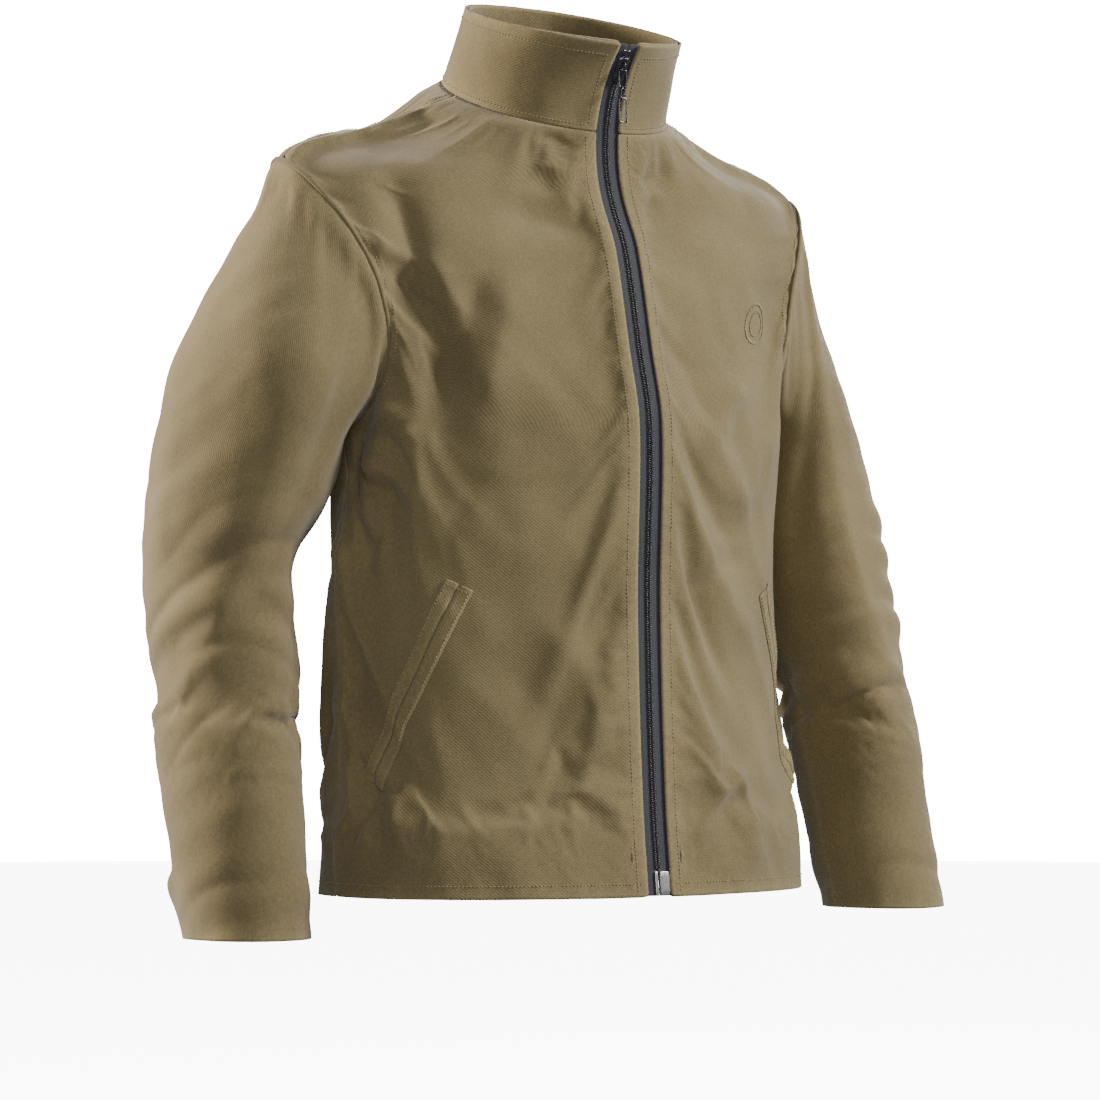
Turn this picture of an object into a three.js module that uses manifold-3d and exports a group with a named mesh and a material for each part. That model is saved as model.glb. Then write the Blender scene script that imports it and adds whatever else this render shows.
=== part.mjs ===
// A zip-front work jacket with a stand collar, modelled as it hangs on a wearer.
// Millimetres, +Z up. The wearer faces -Y and the wearer's left is +X.
// The origin is the centre of the neck opening, on the collar seam.
import * as THREE from 'three';
import Module from 'manifold-3d';
import { mergeVertices } from 'three/addons/utils/BufferGeometryUtils.js';

const wasm = await Module();
wasm.setup();

// ---- Driving dimensions -------------------------------------------------
const HEM_DROP = 685;            // neck seam to hem
const ARMPIT_DROP = 290;         // neck seam to armpit
const SHOULDER_DROP = 68;        // neck seam to shoulder point
const SHOULDER_HALF_WIDTH = 260; // centre to shoulder point
const CHEST_HALF_WIDTH = 208;
const HEM_HALF_WIDTH = 226;
const NECK_HALF_WIDTH = 100;
const COLLAR_HEIGHT = 72;        // at the centre front, measured straight up
const CLOTH = 1.5;               // outer cloth
const SEAM_GAP = 0.4;            // between neighbouring edges
const LAYER_GAP = 0.5;           // between one cloth layer and the next
const ZIP_OPENING = 11.5;        // centre line to each front edge
const TAPE_HALF_WIDTH = 16;
const TAPE_THICKNESS = 0.6;
const TAPE_CLEARANCE = 0.9;       // cloth to tape
const COIL_WIDTH = 2.4;
const COIL_THICKNESS = 1.2;
const COIL_SPLIT = 1.0;          // centre line to each coil
const SLIDER_LENGTH = 22;
const SLIDER_HALF_WIDTH = 6;
const SLIDER_HEIGHT = 15;        // slider's middle above the neck seam's origin
const LINK_REACH = 14;           // pivot to pivot
const TAB_LENGTH = 31;
const WIRE = 1.2;
const EYE_RADIUS = 2.3;
const EYE_BORE = 1.25;
const FACING_WIDTH = 55;
const FACING_THICKNESS = 1.2;
const WELT_LENGTH = 190;
const WELT_WIDTH = 13;
const BAG_WIDTH = 120;
const BADGE_RADIUS = 19;
const ARMHOLE_FRONT_INSET = THREE.MathUtils.degToRad(30);
const ARMHOLE_BACK_INSET = THREE.MathUtils.degToRad(22);
const SLEEVE_GAP = 1.8;

// The collar and upper front lie on this arc in the middle plane.
const ARC = { y: -199.7, z: -51.7, radius: 115.7, lowest: -105 };
const COLLAR_BASE_FRONT = -38;   // height of the collar seam at the centre front
const COLLAR_TOP_FRONT = COLLAR_BASE_FRONT + COLLAR_HEIGHT;
const COLLAR_TOP = { y: -32, halfWidth: 95, halfDepth: 90, slope: 0.32 };

// Depth of the centre front below the arc: height, Y.
const FRONT_FALL = [
  [ARC.lowest, -97], [-140, -114], [-226, -135], [-ARMPIT_DROP, -150],
  [-440, -147], [-600, -154], [-HEM_DROP, -163],
];

// Torso stations from hem to neck: armpit is station 2, shoulder point station 4.
const STATIONS = [
  { side: -HEM_DROP, front: -HEM_DROP, back: -HEM_DROP, width: HEM_HALF_WIDTH, y: -12, yBack: 105 },
  { side: -480, front: -480, back: -480, width: 217, y: -8, yBack: 110 },
  { side: -ARMPIT_DROP, front: -ARMPIT_DROP, back: -ARMPIT_DROP, width: CHEST_HALF_WIDTH, y: 8, yBack: 116 },
  { side: -170, front: -190, back: -160, width: 240, y: 16, yBack: 114 },
  { side: -SHOULDER_DROP, front: -92, back: -40, width: SHOULDER_HALF_WIDTH, y: 20, yBack: 104 },
  { side: -34, front: -62, back: -2, width: 180, y: 10, yBack: 95 },
  { side: -3, front: COLLAR_BASE_FRONT, back: 32, width: NECK_HALF_WIDTH, y: 0, yBack: 85 },
];
const ARMPIT_STATION = 2;
const SHOULDER_STATION = 4;
const NECK_STATION = STATIONS.length - 1;
const SQUARENESS = 2.15;         // superellipse power of a level section

// Sleeve sections below the armhole. out is measured from the shoulder point, and tilt is the
// ring's lean from upright, in degrees.
const CUFF_HALF = { across: 50, depth: 56 };
const SLEEVE_RIGHT = [
  { out: 18, y: 28, z: -255, tilt: 60, across: 74, depth: 96 },
  { out: 29, y: 52, z: -335, tilt: 82, across: 70, depth: 95 },
  { out: 45, y: 62, z: -409, tilt: 90, across: 59, depth: 78 },
  { out: 43, y: 42, z: -514, tilt: 90, across: 58, depth: 73 },
  { out: 40, y: 22, z: -620, tilt: 90, across: 54, depth: 64 },
  { out: 38, y: 8, z: -718, tilt: 90, ...CUFF_HALF },
];
const SLEEVE_LEFT = [
  { out: 8, y: 36, z: -256, tilt: 62, across: 60, depth: 84 },
  { out: 21, y: 25, z: -330, tilt: 80, across: 65, depth: 84 },
  { out: 30, y: -2, z: -405, tilt: 90, across: 58, depth: 76 },
  { out: 36, y: -26, z: -510, tilt: 90, across: 56, depth: 70 },
  { out: 39, y: -48, z: -610, tilt: 90, across: 52, depth: 62 },
  { out: 43, y: -72, z: -705, tilt: 90, ...CUFF_HALF },
];

const radians = THREE.MathUtils.degToRad;
const range = (count) => Array.from({ length: count + 1 }, (_, i) => i / count);
const vector = (x, y, z) => new THREE.Vector3(x, y, z);

// ---- Curves and surfaces ------------------------------------------------

// A smooth value at x through points sorted by x, rising or falling.
function through(points, x) {
  const last = points.length - 1;
  const falling = points[last][0] < points[0][0];
  let i = 0;
  while (i < last - 1 && (falling ? x < points[i + 1][0] : x > points[i + 1][0])) i += 1;
  const slope = (k) => {
    const a = points[Math.max(k - 1, 0)];
    const b = points[Math.min(k + 1, last)];
    return (b[1] - a[1]) / (b[0] - a[0]);
  };
  const [x0, y0] = points[i];
  const [x1, y1] = points[i + 1];
  const t = (x - x0) / (x1 - x0);
  const span = x1 - x0;
  const h = t * t * (3 - 2 * t);
  return y0 + (y1 - y0) * h + span * (slope(i) * t * (1 - t) ** 2 - slope(i + 1) * t * t * (1 - t));
}

// Y of the centre front at a height.
function centreFront(z) {
  if (z > ARC.lowest) return ARC.y + Math.sqrt(ARC.radius ** 2 - (z - ARC.z) ** 2);
  return through(FRONT_FALL, z);
}

function station(row) {
  const value = (key) => through(STATIONS.map((s, i) => [i, s[key]]), row);
  return Object.fromEntries(Object.keys(STATIONS[0]).map((key) => [key, value(key)]));
}

// A point of the torso: angle is 0 at the centre front and positive to the wearer's left.
function torsoPoint(angle, row) {
  const s = station(row);
  const front = Math.cos(angle) > 0;
  const sideways = Math.abs(Math.sin(angle)) ** (2 / SQUARENESS) * Math.sign(Math.sin(angle));
  const forward = Math.abs(Math.cos(angle)) ** (2 / SQUARENESS);
  const y = front ? centreFront(s.front) : s.yBack;
  const z = front ? s.front : s.back;
  return vector(s.width * sideways, s.y + (y - s.y) * forward, s.side + (z - s.side) * forward);
}

// Gives a point function its inward direction, which faces the centre.
function surfaceOf(pointAt, centreAt) {
  const step = 0.01;
  return (u, v) => {
    const point = pointAt(u, v);
    const alongU = pointAt(u + step, v).sub(pointAt(u - step, v));
    const alongV = pointAt(u, v + step).sub(pointAt(u, v - step));
    const inward = alongU.cross(alongV).normalize();
    if (inward.dot(centreAt(u, v).sub(point)) < 0) inward.negate();
    return { point, inward };
  };
}

const torso = surfaceOf(torsoPoint, (angle, row) => {
  const s = station(Math.min(row, NECK_STATION));
  return vector(0, s.y, s.side - (row > SHOULDER_STATION ? COLLAR_HEIGHT * 2 : 0));
});

// The armhole's front or back edge, as an angle from the centre front.
function armholeAngle(row, inset) {
  if (row <= ARMPIT_STATION || row >= SHOULDER_STATION) return Math.PI / 2;
  const half = (SHOULDER_STATION - ARMPIT_STATION) / 2;
  const height = (row - ARMPIT_STATION) / half - 1;
  return Math.PI / 2 - inset * Math.sqrt(1 - height * height);
}

// The angle at which a torso row stands a given distance from the middle plane.
function angleAtX(x, row) {
  return Math.asin((x / station(row).width) ** (SQUARENESS / 2));
}

function rowAtHeight(z) {
  let low = 0;
  let high = SHOULDER_STATION;
  while (high - low > 1e-6) {
    const middle = (low + high) / 2;
    if (station(middle).side < z) low = middle; else high = middle;
  }
  return low;
}

// The collar: t is 0 at the seam and 1 at the rim.
function collarPoint(angle, t) {
  const base = torsoPoint(angle, NECK_STATION);
  const y = COLLAR_TOP.y - COLLAR_TOP.halfDepth * Math.cos(angle);
  const frontY = COLLAR_TOP.y - COLLAR_TOP.halfDepth;
  const top = vector(COLLAR_TOP.halfWidth * Math.sin(angle), y,
    COLLAR_TOP_FRONT + COLLAR_TOP.slope * (y - frontY));
  const point = base.lerp(top, t);
  const chordY = THREE.MathUtils.lerp(centreFront(COLLAR_BASE_FRONT), frontY, t);
  const curved = centreFront(COLLAR_BASE_FRONT + COLLAR_HEIGHT * t) - chordY;
  point.y += curved * Math.max(0, Math.cos(angle)) ** 2;
  return point;
}
const collar = surfaceOf(collarPoint, (angle, t) => vector(0, COLLAR_TOP.y * t, collarPoint(angle, t).z));

// ---- Closed solids ------------------------------------------------------

function closedGeometry(positions, index) {
  let volume = 0;
  const corner = (k) => new THREE.Vector3().fromArray(positions, index[k] * 3);
  for (let k = 0; k < index.length; k += 3) volume += corner(k).dot(corner(k + 1).cross(corner(k + 2)));
  if (volume < 0) index.reverse();
  const geometry = new THREE.BufferGeometry();
  geometry.setAttribute('position', new THREE.Float32BufferAttribute(positions, 3));
  geometry.setIndex(index);
  geometry.computeVertexNormals();
  return geometry;
}

// A sheet with thickness over a grid. wrap joins the last column to the first.
function sheet(columns, rows, surface, near, far, wrap = false) {
  const positions = [];
  for (const depth of [near, far]) {
    for (const row of rows) {
      for (const column of columns) {
        const { point, inward } = surface(column, row);
        positions.push(...point.clone().addScaledVector(inward, depth).toArray());
      }
    }
  }
  const width = columns.length;
  const layer = width * rows.length;
  const index = [];
  const open = new Map();
  const triangle = (a, b, c) => {
    index.push(a, b, c, c + layer, b + layer, a + layer);
    for (const [p, q] of [[a, b], [b, c], [c, a]]) {
      if (!open.delete(`${q}:${p}`)) open.set(`${p}:${q}`, [p, q]);
    }
  };
  for (let i = 0; i + 1 < rows.length; i += 1) {
    for (let j = 0; j < (wrap ? width : width - 1); j += 1) {
      const k = (j + 1) % width;
      const corners = [i * width + j, i * width + k, (i + 1) * width + k, (i + 1) * width + j];
      triangle(corners[0], corners[1], corners[2]);
      triangle(corners[0], corners[2], corners[3]);
    }
  }
  for (const [p, q] of open.values()) index.push(q, p, p + layer, q, p + layer, q + layer);
  return closedGeometry(positions, index);
}

function toSolid(geometry) {
  const bare = geometry.clone();
  bare.deleteAttribute('normal');
  bare.deleteAttribute('uv');
  const merged = mergeVertices(bare, 1e-4);
  return new wasm.Manifold(new wasm.Mesh({
    numProp: 3,
    vertProperties: new Float32Array(merged.attributes.position.array),
    triVerts: new Uint32Array(merged.index.array),
  }));
}

function join(...geometries) {
  const mesh = geometries.map(toSolid).reduce((a, b) => a.add(b)).getMesh();
  const geometry = new THREE.BufferGeometry();
  geometry.setAttribute('position', new THREE.BufferAttribute(mesh.vertProperties, 3));
  geometry.setIndex(new THREE.BufferAttribute(mesh.triVerts, 1));
  geometry.computeVertexNormals();
  return geometry;
}

// Extrudes an outline drawn in Y and Z along X, centred on x.
function acrossX(shape, width, x = 0, curveSegments = 12) {
  const geometry = new THREE.ExtrudeGeometry(shape, { depth: width, bevelEnabled: false, curveSegments });
  geometry.translate(0, 0, -width / 2);
  geometry.applyMatrix4(new THREE.Matrix4().makeBasis(vector(0, 1, 0), vector(0, 0, 1), vector(1, 0, 0)));
  return geometry.translate(x, 0, 0);
}

// Extrudes an outline drawn in X and Z along Y, centred on y = 0.
function acrossY(shape, thickness) {
  const geometry = new THREE.ExtrudeGeometry(shape, { depth: thickness, bevelEnabled: false, curveSegments: 5 });
  return geometry.translate(0, 0, -thickness / 2).rotateX(Math.PI / 2);
}

// A piece of ring about the zip's arc, depth measured inward from the cloth's face.
function arcPlate(near, far, from, to, width, x = 0) {
  const shape = new THREE.Shape();
  shape.absarc(ARC.y, ARC.z, ARC.radius + far, from, to, false);
  shape.absarc(ARC.y, ARC.z, ARC.radius + near, to, from, true);
  return acrossX(shape, width, x, 4);
}

function eye(y, z, width) {
  const shape = new THREE.Shape().absarc(y, z, EYE_RADIUS, 0, Math.PI * 2, false);
  shape.holes.push(new THREE.Path().absarc(y, z, EYE_BORE, 0, Math.PI * 2, true));
  return acrossX(shape, width, 0, 16);
}

function roundedRectangle(Outline, width, low, high, radius) {
  const half = width / 2;
  const outline = new Outline();
  outline.absarc(half - radius, high - radius, radius, 0, Math.PI / 2, false);
  outline.absarc(-half + radius, high - radius, radius, Math.PI / 2, Math.PI, false);
  outline.absarc(-half + radius, low + radius, radius, Math.PI, Math.PI * 1.5, false);
  outline.absarc(half - radius, low + radius, radius, Math.PI * 1.5, Math.PI * 2, false);
  return outline;
}

// ---- Rows shared by everything along the front --------------------------
const ARMHOLE_STEPS = 10;
const BODY_STEPS = 8;
const SLOPE_STEPS = 5;
const COLLAR_STEPS = 6;
const PANEL_COLUMNS = 13;
const armholeMiddle = (ARMPIT_STATION + SHOULDER_STATION) / 2;
const PANEL_ROWS = [
  ...range(BODY_STEPS).map((t) => t * ARMPIT_STATION),
  ...range(ARMHOLE_STEPS).slice(1).map((t) => armholeMiddle - Math.cos(t * Math.PI)),
  ...range(SLOPE_STEPS).slice(1).map((t) => SHOULDER_STATION + t * (NECK_STATION - SHOULDER_STATION)),
];
const COLLAR_ROWS = range(COLLAR_STEPS).map((t) => (t === 0 ? SEAM_GAP / COLLAR_HEIGHT : t));
const seamAngle = SEAM_GAP / 2 / 110;

// ---- Cloth pieces -------------------------------------------------------

function frontPanel(side) {
  const surface = (t, row) => {
    const from = angleAtX(ZIP_OPENING, row);
    const to = armholeAngle(row, ARMHOLE_FRONT_INSET) - seamAngle;
    return torso(side * (from + (to - from) * t), row);
  };
  return sheet(range(PANEL_COLUMNS), PANEL_ROWS, surface, 0, CLOTH);
}

function backPanel() {
  const surface = (t, row) => {
    const reach = armholeAngle(row, ARMHOLE_BACK_INSET) - seamAngle;
    return torso(Math.PI + reach * t, row);
  };
  const columns = range(PANEL_COLUMNS * 2 - 2).map((t) => t * 2 - 1);
  return sheet(columns, PANEL_ROWS, surface, 0, CLOTH);
}

function sleeve(side, sections) {
  const half = Math.PI;
  const armhole = (turn) => {
    const row = armholeMiddle + Math.cos(turn);
    const inset = Math.sin(turn) > 0 ? ARMHOLE_FRONT_INSET : -ARMHOLE_BACK_INSET;
    return torsoPoint(side * (half / 2 - inset * Math.abs(Math.sin(turn))), row);
  };
  const ringPoint = (s, turn) => {
    const lean = radians(s.tilt);
    const out = s.across * Math.cos(turn);
    const x = SHOULDER_HALF_WIDTH + s.out + out * Math.sin(lean);
    return vector(side * x, s.y - s.depth * Math.sin(turn), s.z + out * Math.cos(lean));
  };
  const pointAt = (turn, t) => {
    const points = [armhole(turn), ...sections.map((s) => ringPoint(s, turn))];
    const start = SLEEVE_GAP / points[0].distanceTo(points[1]) / sections.length;
    return new THREE.CatmullRomCurve3(points).getPoint(Math.min(Math.max(t, start), 1));
  };
  const centreAt = (turn, t) => {
    const ring = range(8).slice(1).map((u) => pointAt(u * 2 * half, t));
    return ring.reduce((sum, p) => sum.add(p), vector(0, 0, 0)).divideScalar(ring.length);
  };
  const rows = range(sections.length * 2 + 1);
  const turns = range(ARMHOLE_STEPS * 2).slice(1).map((t) => t * 2 * half);
  return sheet(turns, rows, surfaceOf(pointAt, centreAt), 0, CLOTH, true);
}

function collarLayer(near, far, edge, columns) {
  const surface = (t, row) => {
    const start = angleAtX(edge, NECK_STATION);
    return collar(start + (2 * Math.PI - 2 * start) * t, row);
  };
  return sheet(range(columns), COLLAR_ROWS, surface, near, far);
}

// A patch of torso between two angles and two rows, given as functions of the row.
function torsoPatch(side, fromAt, toAt, columns, rows, near, far) {
  const surface = (t, row) => torso(side * THREE.MathUtils.lerp(fromAt(row), toAt(row), t), row);
  return sheet(range(columns), rows, surface, near, far);
}

const FACING_DEPTH = CLOTH + TAPE_CLEARANCE + TAPE_THICKNESS + LAYER_GAP;

function frontFacing(side) {
  return torsoPatch(side, (row) => angleAtX(ZIP_OPENING, row),
    (row) => angleAtX(ZIP_OPENING + FACING_WIDTH, row), 4, PANEL_ROWS,
    FACING_DEPTH, FACING_DEPTH + FACING_THICKNESS);
}

// ---- Pockets ------------------------------------------------------------
const POCKET = {
  top: -420, angleTop: radians(47), slant: radians(27), girth: 172, // girth: mm of cloth a radian
};

// The pocket's own frame: along runs down the slit, across runs towards the front.
function pocketSurface(side) {
  return (across, along) => {
    const sideways = along * Math.sin(POCKET.slant) - across * Math.cos(POCKET.slant);
    const down = along * Math.cos(POCKET.slant) + across * Math.sin(POCKET.slant);
    return torso(side * (POCKET.angleTop + sideways / POCKET.girth), rowAtHeight(POCKET.top - down));
  };
}

function welt(side, from, to) {
  const rows = range(8).map((t) => t * WELT_LENGTH);
  const columns = range(2).map((t) => from + (to - from) * t);
  return sheet(columns, rows, pocketSurface(side), -LAYER_GAP - CLOTH, -LAYER_GAP);
}

function pocketBag(side) {
  const inset = 12;
  const rows = range(7).map((t) => inset + t * (WELT_LENGTH - 2 * inset));
  const columns = range(5).map((t) => t * BAG_WIDTH - BAG_WIDTH / 3);
  const near = CLOTH + 2 * LAYER_GAP;
  return sheet(columns, rows, pocketSurface(side), near, near + CLOTH);
}

// ---- Zip ----------------------------------------------------------------
const ZIP_HEIGHTS = [
  ...PANEL_ROWS.map((row) => station(row).front),
  ...range(COLLAR_STEPS).slice(1).map((t) => COLLAR_BASE_FRONT + COLLAR_HEIGHT * t),
];
const SLIDER_ANGLE = Math.asin((SLIDER_HEIGHT - ARC.z) / ARC.radius);
const SLIDER_HALF_ANGLE = SLIDER_LENGTH / 2 / ARC.radius;
const COIL_TOP = ARC.z + ARC.radius * Math.sin(SLIDER_ANGLE + SLIDER_HALF_ANGLE);
const BOX_HEIGHT = 20;
const TAPE_DEPTH = CLOTH + TAPE_CLEARANCE;
const COIL_DEPTH = TAPE_DEPTH - 0.3 - COIL_THICKNESS;

// Radius of the front's level sections at the middle: tight on the collar, wide on the body.
function frontRadius(z) {
  const body = 340;
  const neck = COLLAR_TOP.halfWidth ** 2 / COLLAR_TOP.halfDepth;
  const ramp = THREE.MathUtils.smoothstep(z, COLLAR_BASE_FRONT - 20, COLLAR_BASE_FRONT);
  return THREE.MathUtils.lerp(body, neck, ramp);
}

const zipFace = surfaceOf(
  (x, z) => vector(x, centreFront(z) + x * x / 2 / frontRadius(z), z),
  (x, z) => vector(x, 0, z),
);

// A strip along the zip over distances from the middle plane.
function zipStrip(side, distances, bottom, top, near, far) {
  const heights = [bottom, ...ZIP_HEIGHTS.filter((z) => z > bottom + 1 && z < top - 1), top];
  return sheet(distances.map((x) => side * x), heights, zipFace, near, far);
}
const COIL_EDGES = [COIL_SPLIT, COIL_SPLIT + COIL_WIDTH];

const coil = (side) => zipStrip(side, COIL_EDGES,
  -HEM_DROP + BOX_HEIGHT + 3, COIL_TOP, COIL_DEPTH, COIL_DEPTH + COIL_THICKNESS);

const tape = (side) => zipStrip(side, [COIL_SPLIT, ZIP_OPENING, TAPE_HALF_WIDTH],
  -HEM_DROP + 1, COLLAR_TOP_FRONT - 2, TAPE_DEPTH, TAPE_DEPTH + TAPE_THICKNESS);

const topStop = (side) => zipStrip(side, COIL_EDGES,
  COIL_TOP + 1.5, COIL_TOP + 4.5, COIL_DEPTH - 0.1, COIL_DEPTH + COIL_THICKNESS - 0.1);

const bottomBox = () => zipStrip(1, [0.6, 10], -HEM_DROP + 1, -HEM_DROP + 1 + BOX_HEIGHT,
  COIL_DEPTH - 1.4, COIL_DEPTH + COIL_THICKNESS);

const insertPin = () => zipStrip(-1, [0.6, 3.6], -HEM_DROP + 1, -HEM_DROP + 1 + BOX_HEIGHT,
  COIL_DEPTH - 0.6, COIL_DEPTH + COIL_THICKNESS);

const PIVOT_DEPTH = -1.5 - EYE_RADIUS + 0.3;
const pivot = {
  y: ARC.y + (ARC.radius + PIVOT_DEPTH) * Math.cos(SLIDER_ANGLE),
  z: ARC.z + (ARC.radius + PIVOT_DEPTH) * Math.sin(SLIDER_ANGLE),
};

function zipSlider() {
  const low = SLIDER_ANGLE - SLIDER_HALF_ANGLE;
  const high = SLIDER_ANGLE + SLIDER_HALF_ANGLE;
  const backNear = TAPE_DEPTH + TAPE_THICKNESS + LAYER_GAP + 0.2;
  const flangeX = SLIDER_HALF_WIDTH - 0.5;
  return join(
    arcPlate(-1.5, -0.2, low, high, SLIDER_HALF_WIDTH * 2),
    arcPlate(backNear, backNear + 1, low, high, SLIDER_HALF_WIDTH * 2 - 1),
    arcPlate(-0.5, backNear + 0.3, high - 0.03, high, COIL_SPLIT * 2 - 0.8),
    ...[-1, 1].map((s) => arcPlate(-0.5, TAPE_DEPTH - 0.4, low, high, 1, s * flangeX)),
    eye(pivot.y, pivot.z, 2.8),
  );
}

function pullLink() {
  const inner = 6.4;
  const outline = roundedRectangle(THREE.Shape, inner + 2 * WIRE, -LINK_REACH - WIRE / 2, WIRE / 2, 1.4);
  outline.holes.push(roundedRectangle(THREE.Path, inner, -LINK_REACH + WIRE / 2, -WIRE / 2, 0.6));
  return acrossY(outline, WIRE).translate(0, pivot.y, pivot.z);
}

function pullTab() {
  const width = 9;
  const neck = roundedRectangle(THREE.Shape, 4.6, -12, -EYE_RADIUS + 0.4, 0.3);
  const frame = roundedRectangle(THREE.Shape, width, -TAB_LENGTH, -9, 2);
  frame.holes.push(roundedRectangle(THREE.Path, width - 4, -TAB_LENGTH + 2.4, -14, 1.2));
  return join(acrossY(neck, 1.6), acrossY(frame, 1.6), eye(0, 0, 4.6))
    .translate(0, pivot.y, pivot.z - LINK_REACH);
}

// ---- Small pieces -------------------------------------------------------

function chestBadge() {
  const row = 2.95;
  const { point, inward } = torso(radians(40), row);
  const thickness = 1.2;
  const geometry = new THREE.CylinderGeometry(BADGE_RADIUS, BADGE_RADIUS, thickness, 40);
  geometry.applyQuaternion(new THREE.Quaternion().setFromUnitVectors(vector(0, 1, 0), inward));
  return geometry.translate(...point.addScaledVector(inward, -LAYER_GAP - thickness / 2).toArray());
}

const LINING_DEPTH = CLOTH + LAYER_GAP;
const backAngle = (width) => width / 2 / NECK_HALF_WIDTH;

function neckTape() {
  const rows = [5.3, 5.5, 5.7];
  return torsoPatch(1, () => Math.PI - backAngle(150), () => Math.PI + backAngle(150), 10, rows,
    LINING_DEPTH + 0.4, LINING_DEPTH + 1.2);
}

function neckLabel() {
  const rows = [4.3, 4.55, 4.8];
  return torsoPatch(1, () => Math.PI - backAngle(30), () => Math.PI + backAngle(30), 4, rows,
    LINING_DEPTH + 0.4, LINING_DEPTH + 1);
}

// A hanging loop whose ends lie against the neck tape.
function hangerLoop() {
  const reach = 30;
  const end = torso(Math.PI - backAngle(2 * reach), 5.55);
  const start = end.point.clone().addScaledVector(end.inward, LINING_DEPTH + 3.8);
  const path = new THREE.CatmullRomCurve3([
    start, vector(reach * 0.6, start.y - 7, start.z + 10), vector(0, start.y - 9, start.z + 13),
    vector(-reach * 0.6, start.y - 7, start.z + 10), vector(-start.x, start.y, start.z),
  ]);
  const section = new THREE.Shape().absarc(0, 0, 2, 0, Math.PI * 2, false);
  return new THREE.ExtrudeGeometry(section, {
    steps: 16, extrudePath: path, bevelEnabled: false, curveSegments: 4,
  });
}

// ---- Assembly -----------------------------------------------------------
const finish = (color, roughness, metalness = 0) => new THREE.MeshStandardMaterial({
  color, roughness, metalness,
});
const KHAKI = finish(0x857454, 0.9);
const LINING = finish(0x6f6248, 0.9);
const TAPE_BLUE = finish(0x37373e, 0.85);
const COIL_BLACK = finish(0x19191e, 0.5);
const NICKEL = finish(0x3a3a3c, 0.3, 1);
const STEEL = finish(0xb8b8b6, 0.3, 1);
const BADGE = finish(0x5f5440, 0.85);

const collarInnerDepth = FACING_DEPTH;
const sides = { right: -1, left: 1 };
const jacket = new THREE.Group();
const add = (name, geometry, material) => {
  const mesh = new THREE.Mesh(geometry, material);
  mesh.name = name;
  jacket.add(mesh);
};

for (const [name, side] of Object.entries(sides)) {
  add(`front_panel_${name}`, frontPanel(side), KHAKI);
  add(`front_facing_${name}`, frontFacing(side), LINING);
  add(`sleeve_${name}`, sleeve(side, side < 0 ? SLEEVE_RIGHT : SLEEVE_LEFT), KHAKI);
  add(`pocket_${name}_welt_front`, welt(side, SEAM_GAP, WELT_WIDTH), KHAKI);
  add(`pocket_${name}_welt_rear`, welt(side, -WELT_WIDTH, -SEAM_GAP), KHAKI);
  add(`pocket_${name}_bag`, pocketBag(side), LINING);
  add(`zip_tape_${name}`, tape(side), TAPE_BLUE);
  add(`zip_coil_${name}`, coil(side), COIL_BLACK);
  add(`zip_top_stop_${name}`, topStop(side), NICKEL);
}
add('back_panel', backPanel(), KHAKI);
add('collar_outer', collarLayer(0, CLOTH, ZIP_OPENING, 32), KHAKI);
add('collar_interlining', collarLayer(CLOTH + 0.8, CLOTH + 1.3, 24, 30), LINING);
add('collar_inner', collarLayer(collarInnerDepth, collarInnerDepth + CLOTH, ZIP_OPENING, 32), KHAKI);
add('zip_bottom_box', bottomBox(), STEEL);
add('zip_insert_pin', insertPin(), STEEL);
add('zip_slider', zipSlider(), NICKEL);
add('pull_link', pullLink(), NICKEL);
add('pull_tab', pullTab(), NICKEL);
add('chest_badge', chestBadge(), BADGE);
add('neck_tape', neckTape(), KHAKI);
add('neck_label', neckLabel(), LINING);
add('hanger_loop', hangerLoop(), KHAKI);

export default jacket;
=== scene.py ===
"""A zip-front work jacket with a stand collar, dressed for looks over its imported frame."""
import logging
import math
from dataclasses import dataclass, field
from enum import Enum
from typing import Callable, Iterable, Sequence

import bmesh
import bpy
import numpy as np
from mathutils import Matrix, Vector, noise
from mathutils.kdtree import KDTree


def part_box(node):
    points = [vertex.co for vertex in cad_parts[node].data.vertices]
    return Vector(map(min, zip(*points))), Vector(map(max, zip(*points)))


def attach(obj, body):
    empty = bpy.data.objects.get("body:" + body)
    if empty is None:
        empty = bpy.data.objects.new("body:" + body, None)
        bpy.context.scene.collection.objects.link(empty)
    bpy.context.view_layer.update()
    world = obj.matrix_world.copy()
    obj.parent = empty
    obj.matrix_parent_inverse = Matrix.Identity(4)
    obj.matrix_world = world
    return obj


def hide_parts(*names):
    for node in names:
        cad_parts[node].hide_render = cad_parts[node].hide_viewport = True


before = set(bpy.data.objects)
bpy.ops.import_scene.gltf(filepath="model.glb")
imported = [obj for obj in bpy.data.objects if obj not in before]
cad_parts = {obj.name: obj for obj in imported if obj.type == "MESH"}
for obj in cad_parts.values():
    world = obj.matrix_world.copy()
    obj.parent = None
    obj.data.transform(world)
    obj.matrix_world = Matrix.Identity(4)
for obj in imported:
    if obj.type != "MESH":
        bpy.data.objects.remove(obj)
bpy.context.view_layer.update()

MM = 0.001
log = logging.getLogger("jacket")
Array = np.ndarray
Place = Callable[[Array, Array], tuple[Array, Array]]


class Side(Enum):
    """The wearer's two sides, as the sign of X."""

    RIGHT = -1
    LEFT = 1

    @property
    def word(self) -> str:
        """The side's name as it stands in piece names."""
        return self.name.lower()


class Slot(Enum):
    """Material slots of the record."""

    SHELL = "shell_fabric"
    FACING = "facing_fabric"
    TAPE = "zip_tape"
    COIL = "zip_coil"
    NICKEL = "black_nickel"
    STEEL = "bright_steel"
    BADGE = "badge_thread"


# ---- Form: the jacket's surfaces in millimetres, as in the frame ----------------------------


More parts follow.
